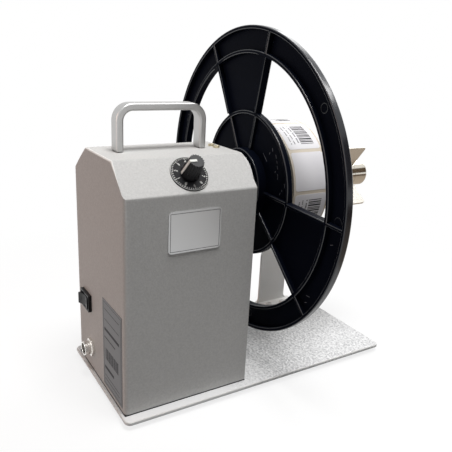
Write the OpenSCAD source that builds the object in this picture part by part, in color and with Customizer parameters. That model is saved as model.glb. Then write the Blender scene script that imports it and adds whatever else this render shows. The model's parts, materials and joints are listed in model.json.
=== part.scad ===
// Bench-top label rewinder: a motor cabinet on a base plate drives a spindle that
// carries one open reel wheel and four fins for the core of a label roll.
// X runs along the spindle towards its free end, Y to the back, Z up.
// The origin is on the bench, under the middle of the whole machine.

/* [Base] */
// Length of the base plate, along the spindle
base_len = 266; // [250:1:300]
// Depth of the base plate, front to back
base_depth = 128; // [122:1:160]
// Thickness of the base plate
base_t = 3; // [2:0.5:5]
// Radius of the base plate's corners
base_corner_r = 5; // [2:0.5:8]
// How far the base plate stands out past the cabinet's left end
base_left_margin = 2.5; // [2:0.5:8]
// Height of the rubber feet
foot_h = 4; // [3.5:0.5:8]
// Diameter of the rubber feet
foot_d = 16; // [14:1:18]
// Distance from the base plate's edges to the centre of a foot
foot_inset = 24; // [18:1:28]

/* [Cabinet] */
// Length of the cabinet, along the spindle
cab_w = 109; // [108:1:140]
// Depth of the cabinet, front to back
cab_d = 110; // [106:1:116]
// Height of the cabinet above the base plate
cab_h = 194; // [190:1:220]
// Height at which the slopes start
eave_h = 171.5; // [168:0.5:176]
// Horizontal run of the front slope
front_run = 24.5; // [22:0.5:27]
// Horizontal run of the rear slope
rear_run = 29; // [22:0.5:32]
// Thickness of the cabinet's sheet metal
sheet_t = 1.5; // [1:0.1:2]
// Outer radius of the sheet's bends
bend_r = 3; // [2.5:0.5:5]
// Width of the inward flanges at the cover's foot
cover_flange = 10; // [8:0.5:12]

/* [Handle] */
// Length of the handle, outside to outside
handle_len = 76; // [70:1:80]
// Height of the handle above the roof
handle_h = 36.5; // [30:0.5:50]
// Thickness of the handle bar, seen from the front
bar_w = 5.8; // [5:0.1:8]
// Depth of the handle bar
bar_d = 12; // [8:0.5:14]
// Outer radius of the handle's bends
handle_r = 13.5; // [9:0.5:16]
// Distance from the cabinet's left end to the middle of the handle
handle_x = 52.5; // [50:0.5:56]
// How far the handle's middle lies behind the middle of the cabinet
handle_y = 1.25; // [0:0.25:3]

/* [Spindle and reel] */
// Height of the spindle's axis above the base plate
axis_h = 160.5; // [150:0.5:164]
// Diameter of the spindle where it carries the reel
spindle_d = 25; // [22:0.5:27]
// Reach of the spindle past the cabinet's right end
spindle_reach = 162; // [150:1:180]
// Diameter of the spindle's free end, past the fins
spindle_tip_d = 24.5; // [20:0.5:24.5]
// Rounding of the spindle's free end
spindle_round = 2; // [1:0.5:4]
// Diameter of the reel wheel
reel_d = 262; // [240:1:280]
// Depth of the reel wheel's lips and ribs, along the spindle
reel_t = 7; // [5:0.5:10]
// Thickness of the reel wheel's web
web_t = 2.5; // [2:0.5:4]
// Width of the reel wheel's lips
lip_w = 3; // [2:0.5:5]
// Width of the reel wheel's outer ring
ring_w = 22; // [15:1:30]
// Rounding of the rim on the side of the roll
rim_round = 2.5; // [1:0.5:3]
// Diameter of the reel wheel's hub disc
hub_d = 126; // [110:1:140]
// How far the hub's lip lies behind the outer lips
hub_recess = 1.7; // [0.5:0.1:2]
// Angle that one spoke spans
spoke_span = 40; // [25:1:60]
// Number of spokes
spoke_count = 3; // [3:1:5]
// Angle of the first spoke from the horizontal, seen from the free end
spoke_phase = 82; // [0:1:119]
// Thickness of the ribs along the spokes
rib_w = 2.5; // [2:0.5:4]
// Diameter of the boss in the middle of the reel wheel
boss_d = 62; // [52:1:64]
// How far the boss stands out of the lips towards the cabinet
boss_out = 4; // [2:0.5:5]
// Gap between the cabinet's right end and the reel wheel's lips
reel_gap = 22; // [22:0.5:30]

/* [Core fins and label roll] */
// Length of the fins along the spindle
fin_len = 103; // [90:1:112]
// Thickness of the fins
fin_t = 2; // [1.5:0.1:3]
// Depth of the slots that hold the fins
fin_slot = 3; // [2:0.5:4]
// Distance between the ends of the fins and the end of the spindle
fin_setback = 17; // [10:0.5:20]
// Radius of the fins' outer corners
fin_corner_r = 3; // [1:0.5:6]
// Inner diameter of the roll's cardboard core
core_bore_d = 76; // [70:0.5:80]
// Wall of the cardboard core
core_wall = 3; // [2:0.5:4]
// Outer diameter of the label roll
roll_d = 108; // [92:1:120]
// Width of the label roll
roll_w = 37; // [25:0.5:60]
// Distance between the reel wheel's hub and the label roll
roll_gap = 8.5; // [8:0.5:30]
// Thickness of the web's outermost turn, with its labels
web_turn_t = 0.4; // [0.2:0.1:0.8]

/* [Speed control] */
// Distance from the cabinet's left end to the middle of the dial
dial_x = 56; // [54:0.5:60]
// Distance from the foot of the slope to the middle of the dial
dial_s = 17; // [16.5:0.1:17.5]
// Diameter of the dial plate
dial_d = 30; // [26:0.5:32]
// Thickness of the dial plate
dial_t = 1; // [0.5:0.1:1.5]
// Diameter of the knob's foot
knob_d = 15; // [14.5:0.5:18]
// Diameter of the knob's top
knob_top_d = 11.5; // [9:0.5:14]
// Height of the knob
knob_h = 15; // [12:0.5:18]
// Number of flutes round the knob
flute_count = 18; // [12:1:24]
// Diameter of the potentiometer's shaft
pot_shaft_d = 6; // [4:0.5:6]

/* [Left end] */
// Distance from the cabinet's front to the middle of the switch
switch_y = 85; // [75:0.5:88]
// Height of the switch's middle above the base plate
switch_h = 62.5; // [50:0.5:100]
// Length of the switch's bezel
bezel_len = 21; // [20:0.5:23]
// Width of the switch's bezel
bezel_w = 15; // [14.5:0.5:17]
// Thickness of the switch's bezel
bezel_t = 3; // [2:0.5:3]
// Angle between the rocker's two positions
rocker_throw = 16; // [10:1:18]
// Distance from the cabinet's front to the middle of the socket
socket_y = 76; // [74:0.5:86]
// Height of the socket's middle above the base plate
socket_h = 21.5; // [18:0.5:30]
// Diameter of the socket's threaded shell
socket_d = 12; // [11:0.5:13]
// How far the socket stands out of the cabinet
socket_out = 8; // [7:0.5:10]
// Width of the name plate
plate_w = 44; // [30:1:60]
// Height of the name plate
plate_h = 32; // [20:1:40]
// Thickness of the name plate
plate_t = 0.8; // [0.4:0.1:1.5]
// Width of the rating sticker
sticker_w = 41; // [30:1:50]
// Height of the rating sticker
sticker_h = 77; // [50:1:90]
// Thickness of the rating sticker
sticker_t = 0.3; // [0.2:0.1:0.5]

/* [Drive] */
// Outer diameter of the spindle's ball bearings
bearing_od = 35; // [32:1:37]
// Bore of the spindle's ball bearings
bearing_id = 17; // [15:1:17]
// Width of a ball bearing
bearing_w = 10; // [8:0.5:10]
// Diameter of the bearing housing's nose
nose_d = 52; // [48:1:54]
// How far the nose stands out of the cabinet
nose_out = 16; // [15:0.5:17]
// Diameter of the dust sleeve round the nose
sleeve_d = 64; // [58:1:66]
// Diameter of the bearing housing's flange, inside the cabinet
flange_d = 70; // [66:1:72]
// Thickness of the bearing housing's flange
flange_t = 6; // [4:0.5:8]
// Diameter of the shaft coupling
coupling_d = 26; // [22:1:30]
// Length of the shaft coupling
coupling_len = 24; // [20:1:26]
// Diameter of the motor's output shaft
motor_shaft_d = 8; // [6:0.5:10]
// Diameter of the gearbox
gearbox_d = 44; // [42:1:46]
// Length of the gearbox
gearbox_len = 22; // [16:1:23]
// Diameter of the motor
motor_d = 40; // [34:1:42]
// Length of the motor
motor_len = 30; // [24:1:32]
// Thickness of the motor bracket
bracket_t = 3; // [2:0.5:4]
// Width of the motor bracket
bracket_w = 54; // [50:1:56]

/* [Guide plate] */
// Distance from the base plate's right end to the middle of the guide plate
guide_inset = 42.5; // [30:0.5:50]
// Width of the guide plate
guide_w = 34; // [25:1:40]
// Height of the guide plate above the base plate
guide_h = 66; // [40:1:80]
// Thickness of the guide plate
guide_t = 3; // [2:0.5:4]
// Width of the guide plate's foot
guide_foot_w = 48; // [44:1:60]
// Length of the guide plate's foot
guide_foot = 24; // [20:1:30]

/* [Hidden] */
$fn = 72;

// Clearances, all radial or per face
screw_gap = 0.1;
run_gap = 0.05;
seat_gap = 0.1;
free_gap = 0.3;
cut = 1;

// Main planes
left_out = max(socket_out, base_left_margin);
cab_x0 = (left_out - cab_w - spindle_reach) / 2;
cab_x1 = cab_x0 + cab_w;
end_in = cab_x1 - sheet_t;
y_front = -cab_d / 2;
y_rear = cab_d / 2;
z_base = foot_h + base_t;
z_axis = z_base + axis_h;
z_roof = z_base + cab_h;
roof_in = z_roof - sheet_t;
base_x0 = cab_x0 - base_left_margin;
base_x1 = base_x0 + base_len;
spindle_end = cab_x1 + spindle_reach;

// Screws: shank and head of the two sizes used, and the cross slot as shares of the head
m4_r = 2;
m4_head_r = 3.6;
m4_head_h = 2.2;
m3_r = 1.5;
m3_head_r = 2.8;
m3_head_h = 1.8;
slot_w_share = 0.28;
slot_len_share = 1.2;
slot_floor_share = 0.45;
screw_past = 1;
head_sink = 0.2;

// Feet and the screws that come up through the base plate
foot_xs = [base_x0 + foot_inset, base_x1 - foot_inset];
foot_ys = [-base_depth / 2 + foot_inset, base_depth / 2 - foot_inset];
foot_recess = 0.7;
foot_taper = 1;
foot_screw_sink = foot_h - m3_head_h - foot_recess;
cover_screw_at = [42, 88];
cover_screw_xs = [for (at = cover_screw_at) cab_x0 + at];
cover_screw_y = cab_d / 2 - sheet_t - cover_flange / 2;
end_flange = 14;
end_flange_w = 70;
end_screw_x = end_in - end_flange / 2;
end_screw_y = 22;

// Front slope
slope_rise = cab_h - eave_h;
slope_angle = atan2(slope_rise, front_run);

// Roof screws and the handle's screws
roof_screw_inset = 8;
roof_screw_x = cab_x1 - roof_screw_inset;
roof_screw_pitch = 8;
roof_screw_len = 2 * sheet_t + 2 * seat_gap;
handle_screw_len = 8;
handle_leg_xs = [for (s = [-1, 1]) cab_x0 + handle_x + s * (handle_len - bar_w) / 2];

// Plates
plate_x = 55.5;
plate_z = 143.5;
plate_corner_r = 3;
sticker_y = 26;
sticker_z = 42.5;

// Potentiometer and knob, measured along the slope's normal from the cabinet's face
pot_d = 17;
pot_len = 9;
pot_bush_wall = 1;
pot_bush_r = pot_shaft_d / 2 + pot_bush_wall;
pot_nut_t = 2;
pot_nut_wall = 1.75;
pot_nut_r = pot_bush_r + pot_nut_wall;
pot_shaft_depth = sheet_t + pot_len / 2;
knob_gap = 0.6;
knob_z0 = dial_t + knob_gap;
knob_z1 = knob_z0 + knob_h;
knob_cap = 3;
knob_recess_gap = 0.5;
knob_recess_r = pot_nut_r + knob_recess_gap;
knob_recess_h = pot_nut_t + 2 * knob_recess_gap;
knob_lean = atan2((knob_d - knob_top_d) / 2, knob_h);
flute_r = 0.9;
flute_z = knob_recess_h + 2 * knob_recess_gap;
flute_axis_r = knob_d / 2 - flute_z * tan(knob_lean) + flute_r / 3;
pointer_w = 1.6;
pointer_h = 0.5;

// Switch
rocker_gap = 0.8;
bezel_rim = 1.7;
bezel_lap = 0.7;
rocker_len = bezel_len - 2 * bezel_rim - 2 * rocker_gap;
rocker_w = bezel_w - 2 * bezel_rim - 2 * rocker_gap;
rocker_foot_share = 0.55;
rocker_dip = 0.4;
switch_body_len = bezel_len - 2 * bezel_lap;
switch_body_w = bezel_w - 2 * bezel_lap;
switch_depth = 16;
switch_well = 8;
switch_tab = [0.8, 6, 6];
rocker_pin_r = 1.2;
rocker_pin_in = 0.5;
rocker_rise = 5;
rocker_drop = 3.2;

// Socket
socket_wall = 1.2;
socket_bore_r = socket_d / 2 - socket_wall;
socket_flange_w = 2;
socket_flange_r = socket_d / 2 + socket_flange_w;
socket_flange_t = 1.5;
socket_tail = 9;
socket_well = 1;
socket_pin_r = 0.8;
socket_pin_len = 4;
socket_pin_pitch = 4;
socket_nut_wall = 2.2;
socket_nut_r = socket_d / 2 + socket_nut_wall;
socket_nut_t = 2.5;

// Bearing housing, spindle and reel along X
nose_x = cab_x1 + nose_out;
sleeve_x0 = cab_x1 + m4_head_h + free_gap;
bearing_inset = 3;
rear_inset = 1;
housing_len = 33;
housing_x0 = nose_x - housing_len;
front_bearing_x = nose_x - bearing_inset - bearing_w;
rear_bearing_x = housing_x0 + rear_inset;
race_w = 3;
housing_shoulder_r = bearing_od / 2 - race_w;
housing_bolt_r = (nose_d + flange_d) / 4;
housing_bolts = 4;
flange_top = roof_in - sheet_t - 2 * free_gap;
journal_r = bearing_id / 2 - run_gap;
shoulder_w = 2;
shoulder_r = journal_r + shoulder_w;
journal_past = 2;
journal_x0 = housing_x0 - journal_past;
ring_t = 1.2;
ring_depth = 0.8;
shaft_gap = 0.5;
tail_r = 6;
tail_len = coupling_len / 2 + shaft_gap;
tail_x0 = journal_x0 - tail_len;
reel_x0 = cab_x1 + reel_gap;
reel_x1 = reel_x0 + reel_t;
reel_r = reel_d / 2;
hub_r = hub_d / 2;
boss_r = boss_d / 2;
ring_in_r = reel_r - ring_w;
spindle_r = spindle_d / 2;
tip_r = min(spindle_tip_d / 2, spindle_r - 2 * seat_gap);
collar_len = 12;
collar_clear = 14;
collar_r = core_bore_d / 2 - collar_clear;
collar_bolt_r = (spindle_r + collar_r) / 2;
collar_bolts = 3;
collar_bolt_depth = 7;
collar_set_angle = 90;

// Fins and roll
fin_x1 = spindle_end - fin_setback;
fin_x0 = fin_x1 - fin_len;
fin_count = 4;
fin_phase = 53;
fin_gap = 0.5;
fin_tip_r = core_bore_d / 2 - fin_gap;
fin_root_r = spindle_r - fin_slot;
roll_x0 = reel_x1 + roll_gap;
core_od = core_bore_d + 2 * core_wall;
turn_end_angle = 295;
turn_gap_angle = 10;

// Motor, coupling and board
coupling_x1 = journal_x0 - shaft_gap;
coupling_x0 = coupling_x1 - coupling_len;
coupling_slit = 1;
coupling_slit_depth = 2;
bracket_gap = 3;
bracket_x1 = coupling_x0 - bracket_gap;
bracket_x0 = bracket_x1 - bracket_t;
motor_cap = 2;
motor_boss_r = 10;
motor_shaft_in = 10;
motor_bolt_r = 16;
motor_bolts = 4;
motor_bolt_depth = 6;
bracket_top = 19;
bracket_foot = 22;
bracket_screw_y = 18;
grub_r = 2;
grub_len = 5;
board_len = 46;
board_w = 50;
board_t = 1.6;
board_at = [8, 22, 8];
board_x0 = cab_x0 + board_at[0];
board_y0 = y_front + board_at[1];
board_z = z_base + board_at[2];
board_hole_inset = 4;
board_screw_in = 4;
standoff_r = 2.8;
standoff_thread = 5;
board_hole_xs = [board_x0 + board_hole_inset, board_x0 + board_len - board_hole_inset];
board_hole_ys = [board_y0 + board_hole_inset, board_y0 + board_w - board_hole_inset];
sink_at = [10, 10];
sink_fins = 6;
sink_fin_t = 1.2;
sink_base = 3;
sink_len = 26;
sink_w = 18;
sink_h = 22;
cap_at = [14, 39];
cap_d = 14;
cap_h = 24;
cap_vent = [9, 0.8, 0.5];
term_at = [24, 33];
term_poles = 4;
term_pitch = 5;
term_w = 9;
term_h = 10;
term_screw_r = 1.8;
term_well = 2;

// Guide plate
guide_x = base_x1 - guide_inset;
guide_y1 = base_depth / 2;
guide_corner_r = 8;
guide_fillet_r = 5;
guide_screw_dx = 9;

// Colours
c_cabinet = [0.80, 0.79, 0.77];
c_black = [0.07, 0.07, 0.08];
c_steel = [0.70, 0.70, 0.71];
c_brass = [0.80, 0.65, 0.35];
c_alu = [0.78, 0.79, 0.80];
c_white = [0.95, 0.95, 0.94];
c_rubber = [0.12, 0.12, 0.12];
c_green = [0.10, 0.35, 0.18];

// Inward normal of the edge from a to b, for corners listed anticlockwise
function inward(a, b) = let (d = (b - a) / norm(b - a)) [-d[1], d[0]];
function before(p, i) = p[(i + len(p) - 1) % len(p)];
function after(p, i) = p[(i + 1) % len(p)];

// The point that lies t inside both edges that meet at corner i
function inside(p, i, t) =
    let (n1 = inward(before(p, i), p[i]), n2 = inward(p[i], after(p, i)))
    p[i] + t * (n1 + n2) / (1 + n1 * n2);

// A convex outline moved inwards by t
function inset(p, t) = [for (i = [0:len(p) - 1]) inside(p, i, t)];

// A convex outline with its corners rounded to radius r
function rounded(p, r, steps = 6) = [
    for (i = [0:len(p) - 1])
        let (
            n1 = inward(before(p, i), p[i]),
            n2 = inward(p[i], after(p, i)),
            c = inside(p, i, r),
            a0 = atan2(-n1[1], -n1[0]),
            turn = acos(min(1, n1 * n2))
        )
        each arc(c, r, a0, a0 + turn, steps)
];

// Points along an arc
function arc(c, r, a0, a1, steps = 6) = [
    for (k = [0:steps]) let (a = a0 + (a1 - a0) * k / steps) c + r * [cos(a), sin(a)]
];

// Outline of the cabinet's end in Y and Z, from a given foot height
function house(foot) = [
    [y_front, foot], [y_rear, foot], [y_rear, z_base + eave_h], [y_rear - rear_run, z_roof],
    [y_front + front_run, z_roof], [y_front, z_base + eave_h]
];

function rectangle(w, h) = [[-w / 2, -h / 2], [w / 2, -h / 2], [w / 2, h / 2], [-w / 2, h / 2]];

// Stands an outline in Y and Z up along X
module along_x(x0, len) {
    translate([x0, 0, 0]) rotate([90, 0, 90]) linear_extrude(len) children();
}

// A round bar along X, on the spindle's axis
module rod(x0, x1, r) {
    translate([x0, 0, z_axis]) rotate([0, 90, 0]) cylinder(h = x1 - x0, r = r);
}

// A ring along X, on the spindle's axis
module ring(x0, x1, r_out, r_in) {
    difference() {
        rod(x0, x1, r_out);
        rod(x0 - cut, x1 + cut, r_in);
    }
}

// Places children on a circle round the spindle's axis, with their Z along X
module round_spindle(x, r, count, phase = 0) {
    for (i = [0:count - 1])
        translate([x, 0, z_axis]) rotate([phase + i * 360 / count, 0, 0])
            translate([0, r, 0]) rotate([0, 90, 0]) children();
}

// Places children on the front slope at the dial, with Z along the slope's normal
module on_dial() {
    translate([cab_x0 + dial_x, y_front, z_base + eave_h]) rotate([slope_angle, 0, 0])
        translate([0, dial_s, 0]) children();
}

// Places children on the left end, with Z pointing out of it and X to the back
module on_left_end(y, z) {
    translate([cab_x0, y_front + y, z_base + z]) rotate([90, 0, -90]) mirror([1, 0, 0]) children();
}

// A cross-head screw whose seat is at 0 and whose shank runs down
module screw(r, len, head_r, head_h) {
    slot_w = head_r * slot_w_share;
    slot_len = head_r * slot_len_share;
    floor_h = head_h * slot_floor_share;
    difference() {
        cylinder(h = head_h, r = head_r);
        for (a = [0, 90])
            rotate(a) translate([-slot_len / 2, -slot_w / 2, floor_h]) cube([slot_len, slot_w, head_h]);
    }
    translate([0, 0, -len]) cylinder(h = len + floor_h / 2, r = r);
}

// A plate with round corners, standing on Z = 0
module round_plate(w, h, t, r) {
    linear_extrude(t) polygon(rounded(rectangle(w, h), r));
}

// Every place where a screw comes up through the base plate
module at_base_screws() {
    for (x = foot_xs, y = foot_ys) translate([x, y, 0]) cylinder(h = z_base + cut, r = m3_r + screw_gap);
    for (x = cover_screw_xs, s = [-1, 1])
        translate([x, s * cover_screw_y, 0]) cylinder(h = z_base + cut, r = m4_r + screw_gap);
    for (s = [-1, 1]) {
        translate([end_screw_x, s * end_screw_y, 0]) cylinder(h = z_base + cut, r = m4_r + screw_gap);
        translate([bracket_x1 + bracket_foot / 2, s * bracket_screw_y, 0])
            cylinder(h = z_base + cut, r = m4_r + screw_gap);
        translate([guide_x + s * guide_screw_dx, guide_y1 - guide_foot / 2, 0])
            cylinder(h = z_base + cut, r = m4_r + screw_gap);
    }
    for (x = board_hole_xs, y = board_hole_ys)
        translate([x, y, 0]) cylinder(h = z_base + cut, r = m3_r + screw_gap);
}

module base_plate() {
    color(c_cabinet) difference() {
        translate([base_x0 + base_len / 2, 0, foot_h])
            round_plate(base_len, base_depth, base_t, base_corner_r);
        at_base_screws();
    }
}

module rubber_feet() {
    color(c_rubber) for (x = foot_xs, y = foot_ys) translate([x, y, 0]) difference() {
        cylinder(h = foot_h, r1 = foot_d / 2 - foot_taper, r2 = foot_d / 2);
        translate([0, 0, -cut]) cylinder(h = foot_h + 2 * cut, r = m3_r + screw_gap);
        translate([0, 0, -cut]) cylinder(h = foot_h - foot_screw_sink + cut, r = m3_head_r + free_gap);
    }
}

module foot_screws() {
    color(c_steel) for (x = foot_xs, y = foot_ys)
        translate([x, y, foot_h - foot_screw_sink]) mirror([0, 0, 1])
            screw(m3_r, foot_screw_sink + base_t, m3_head_r, m3_head_h);
}

module cabinet_cover() {
    below = z_base - 2 * bend_r;
    color(c_cabinet) difference() {
        union() {
            difference() {
                intersection() {
                    along_x(cab_x0, cab_w) polygon(rounded(house(below), bend_r));
                    translate([cab_x0 + cab_w, 0, z_base])
                        linear_extrude(cab_h) polygon(rounded(rectangle(2 * cab_w, cab_d), bend_r));
                }
                along_x(cab_x0 + sheet_t, cab_w)
                    polygon(rounded(inset(house(below), sheet_t), bend_r - sheet_t));
            }
            for (side = [0, 1])
                mirror([0, side, 0])
                    translate([cab_x0 + sheet_t / 2, cover_screw_y - cover_flange / 2, z_base])
                        cube([cab_w - end_flange - 3 * sheet_t, cover_flange + sheet_t / 2, sheet_t]);
        }
        on_dial() translate([0, 0, -2 * sheet_t]) cylinder(h = 3 * sheet_t, r = pot_bush_r + screw_gap);
        on_left_end(switch_y, switch_h)
            translate([-switch_body_len / 2 - seat_gap, -switch_body_w / 2 - seat_gap, -2 * sheet_t])
                cube([switch_body_len + 2 * seat_gap, switch_body_w + 2 * seat_gap, 3 * sheet_t]);
        on_left_end(socket_y, socket_h) translate([0, 0, -2 * sheet_t])
            cylinder(h = 3 * sheet_t, r = socket_d / 2 + screw_gap);
        for (x = handle_leg_xs)
            translate([x, handle_y, roof_in - cut]) cylinder(h = sheet_t + 2 * cut, r = m3_r + screw_gap);
        for (s = [-1, 1])
            translate([roof_screw_x, s * roof_screw_pitch / 2, roof_in - cut])
                cylinder(h = sheet_t + 2 * cut, r = m3_r + screw_gap);
        for (x = cover_screw_xs, s = [-1, 1])
            translate([x, s * cover_screw_y, z_base - cut])
                cylinder(h = sheet_t + 2 * cut, r = m4_r + screw_gap);
    }
}

module right_end_plate() {
    roof_flange_w = cab_d - front_run - rear_run - 2 * bend_r;
    roof_flange_y = (front_run - rear_run) / 2;
    color(c_cabinet) difference() {
        union() {
            along_x(end_in, sheet_t)
                polygon(inset(house(z_base - sheet_t - seat_gap), sheet_t + seat_gap));
            translate([end_in - end_flange, roof_flange_y - roof_flange_w / 2, roof_in - seat_gap - sheet_t])
                cube([end_flange + sheet_t, roof_flange_w, sheet_t]);
            translate([end_in - end_flange, -end_flange_w / 2, z_base])
                cube([end_flange + sheet_t, end_flange_w, sheet_t]);
        }
        rod(end_in - cut, cab_x1 + cut, nose_d / 2 + seat_gap);
        round_spindle(end_in - cut, housing_bolt_r, housing_bolts, 45)
            cylinder(h = sheet_t + 2 * cut, r = m4_r + screw_gap);
        for (s = [-1, 1]) {
            translate([roof_screw_x, s * roof_screw_pitch / 2, roof_in - 3 * sheet_t])
                cylinder(h = 3 * sheet_t, r = m3_r + screw_gap);
            translate([end_screw_x, s * end_screw_y, z_base - cut])
                cylinder(h = sheet_t + 2 * cut, r = m4_r + screw_gap);
        }
    }
}

module cabinet_screws() {
    color(c_steel) {
        for (x = cover_screw_xs, s = [-1, 1])
            translate([x, s * cover_screw_y, foot_h]) mirror([0, 0, 1])
                screw(m4_r, base_t + sheet_t + screw_past, m4_head_r, m4_head_h);
        for (s = [-1, 1])
            translate([end_screw_x, s * end_screw_y, foot_h]) mirror([0, 0, 1])
                screw(m4_r, base_t + sheet_t + screw_past, m4_head_r, m4_head_h);
    }
}

module roof_screws() {
    color(c_brass) for (s = [-1, 1])
        translate([roof_screw_x, s * roof_screw_pitch / 2, z_roof])
            screw(m3_r, roof_screw_len, m3_head_r, m3_head_h);
}

module carry_handle() {
    drop = handle_r;
    color(c_alu) difference() {
        translate([cab_x0 + handle_x, handle_y + bar_d / 2, z_roof + handle_h / 2]) rotate([90, 0, 0])
            linear_extrude(bar_d) difference() {
                translate([0, -drop / 2])
                    polygon(rounded(rectangle(handle_len, handle_h + drop), handle_r, 10));
                translate([0, -drop / 2 - bar_w / 2])
                    polygon(rounded(rectangle(handle_len - 2 * bar_w, handle_h + drop - bar_w),
                                    handle_r - bar_w, 10));
                translate([-handle_len, -handle_h / 2 - 2 * drop]) square([2 * handle_len, 2 * drop]);
            }
        for (x = handle_leg_xs)
            translate([x, handle_y, z_roof - cut])
                cylinder(h = handle_screw_len + 2 * cut, r = m3_r + screw_gap);
    }
}

module handle_screws() {
    color(c_steel) for (x = handle_leg_xs)
        translate([x, handle_y, roof_in]) mirror([0, 0, 1])
            screw(m3_r, sheet_t + handle_screw_len, m3_head_r, m3_head_h);
}

module name_plate() {
    color(c_alu) translate([cab_x0 + plate_x, y_front, z_base + plate_z]) rotate([90, 0, 0])
        round_plate(plate_w, plate_h, plate_t, plate_corner_r);
}

module rating_sticker() {
    color(c_alu) on_left_end(sticker_y, sticker_z)
        translate([-sticker_w / 2, -sticker_h / 2, 0]) cube([sticker_w, sticker_h, sticker_t]);
}

module dial_plate() {
    color(c_black) on_dial() difference() {
        cylinder(h = dial_t, r = dial_d / 2);
        translate([0, 0, -cut]) cylinder(h = dial_t + 2 * cut, r = pot_bush_r + screw_gap);
    }
}

module potentiometer() {
    lug_pitch = 5;
    lug_in = 2;
    lug = [2, 5, 1];
    color(c_steel) on_dial() difference() {
        union() {
            translate([0, 0, -sheet_t - pot_len]) cylinder(h = pot_len, r = pot_d / 2);
            translate([0, 0, -sheet_t - cut])
                cylinder(h = sheet_t + cut + dial_t + pot_nut_t, r = pot_bush_r);
            for (i = [-1:1])
                translate([i * lug_pitch - lug[0] / 2, lug_in - lug[1] - pot_d / 2,
                           lug_in - sheet_t - pot_len])
                    cube(lug);
        }
        translate([0, 0, -pot_shaft_depth - free_gap])
            cylinder(h = 2 * pot_len + dial_t + pot_nut_t, r = pot_shaft_d / 2 + run_gap);
    }
}

module pot_nut() {
    color(c_steel) on_dial() translate([0, 0, dial_t]) difference() {
        cylinder(h = pot_nut_t, r = pot_nut_r, $fn = 6);
        translate([0, 0, -cut]) cylinder(h = pot_nut_t + 2 * cut, r = pot_bush_r + screw_gap);
    }
}

module speed_knob() {
    color(c_black) on_dial() difference() {
        union() {
            translate([0, 0, knob_z0]) cylinder(h = knob_h, r1 = knob_d / 2, r2 = knob_top_d / 2);
            translate([-knob_top_d / 2, -pointer_w / 2, knob_z1 - cut])
                cube([knob_top_d / 2, pointer_w, cut + pointer_h]);
        }
        for (i = [0:flute_count - 1])
            rotate((i + 0.5) * 360 / flute_count) translate([flute_axis_r, 0, knob_z0 + flute_z])
                rotate([0, -knob_lean, 0]) cylinder(h = 2 * knob_h, r = flute_r, $fn = 16);
        translate([0, 0, knob_z0 - cut]) cylinder(h = knob_recess_h + cut, r = knob_recess_r);
        translate([0, 0, knob_z0 - cut])
            cylinder(h = knob_h - knob_cap + cut, r = pot_shaft_d / 2 + run_gap);
    }
}

module pot_shaft() {
    color(c_alu) on_dial() translate([0, 0, -pot_shaft_depth])
        cylinder(h = pot_shaft_depth + knob_z1 - knob_cap - seat_gap, r = pot_shaft_d / 2);
}

module switch_housing() {
    pin_span = bezel_w - 2 * bezel_rim + 2 * rocker_pin_in + 2 * seat_gap;
    color(c_black) on_left_end(switch_y, switch_h) difference() {
        union() {
            translate([-bezel_len / 2, -bezel_w / 2, 0]) cube([bezel_len, bezel_w, bezel_t]);
            translate([-switch_body_len / 2, -switch_body_w / 2, -switch_depth])
                cube([switch_body_len, switch_body_w, switch_depth + bezel_t / 2]);
            for (i = [-1, 1])
                translate([i * switch_body_len / 4 - switch_tab[0] / 2, -switch_tab[1] / 2,
                           -switch_depth - switch_tab[2]])
                    cube(switch_tab + [0, 0, cut]);
        }
        translate([-bezel_len / 2 + bezel_rim, -bezel_w / 2 + bezel_rim, -switch_well])
            cube([bezel_len - 2 * bezel_rim, bezel_w - 2 * bezel_rim, switch_well + bezel_t + cut]);
        translate([0, -pin_span / 2, 0]) rotate([-90, 0, 0])
            cylinder(h = pin_span, r = rocker_pin_r + run_gap);
    }
}

module switch_rocker() {
    half = rocker_len / 2;
    foot = half * rocker_foot_share;
    crown = bezel_t - rocker_dip;
    color(c_black) on_left_end(switch_y, switch_h) rotate([0, -rocker_throw / 2, 0]) {
        rotate([90, 0, 0]) translate([0, 0, -rocker_w / 2]) linear_extrude(rocker_w) polygon([
            [-foot, -rocker_drop], [foot, -rocker_drop], [half, 0], [half, rocker_rise],
            [0, crown], [-half, rocker_rise], [-half, 0]
        ]);
        translate([0, -rocker_w / 2 - rocker_gap - rocker_pin_in, 0]) rotate([-90, 0, 0])
            cylinder(h = rocker_w + 2 * rocker_gap + 2 * rocker_pin_in, r = rocker_pin_r);
    }
}

module socket_shell() {
    color(c_steel) on_left_end(socket_y, socket_h) difference() {
        union() {
            translate([0, 0, -sheet_t - socket_tail])
                cylinder(h = sheet_t + socket_tail + socket_out, r = socket_d / 2);
            translate([0, 0, -sheet_t - socket_flange_t]) cylinder(h = socket_flange_t, r = socket_flange_r);
        }
        translate([0, 0, -sheet_t - socket_tail - cut])
            cylinder(h = sheet_t + socket_tail + socket_out + 2 * cut, r = socket_bore_r);
    }
}

module socket_insert() {
    color(c_black) on_left_end(socket_y, socket_h) {
        translate([0, 0, -sheet_t - socket_tail])
            cylinder(h = sheet_t + socket_tail - socket_well, r = socket_bore_r - seat_gap);
        for (s = [-1, 1]) translate([s * socket_pin_pitch / 2, 0, -sheet_t - socket_tail - socket_pin_len])
            cylinder(h = sheet_t + socket_tail + 2 * socket_pin_len - socket_well, r = socket_pin_r);
    }
}

module socket_nut() {
    color(c_steel) on_left_end(socket_y, socket_h) difference() {
        cylinder(h = socket_nut_t, r = socket_nut_r, $fn = 6);
        translate([0, 0, -cut]) cylinder(h = socket_nut_t + 2 * cut, r = socket_d / 2 + screw_gap);
    }
}

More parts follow.
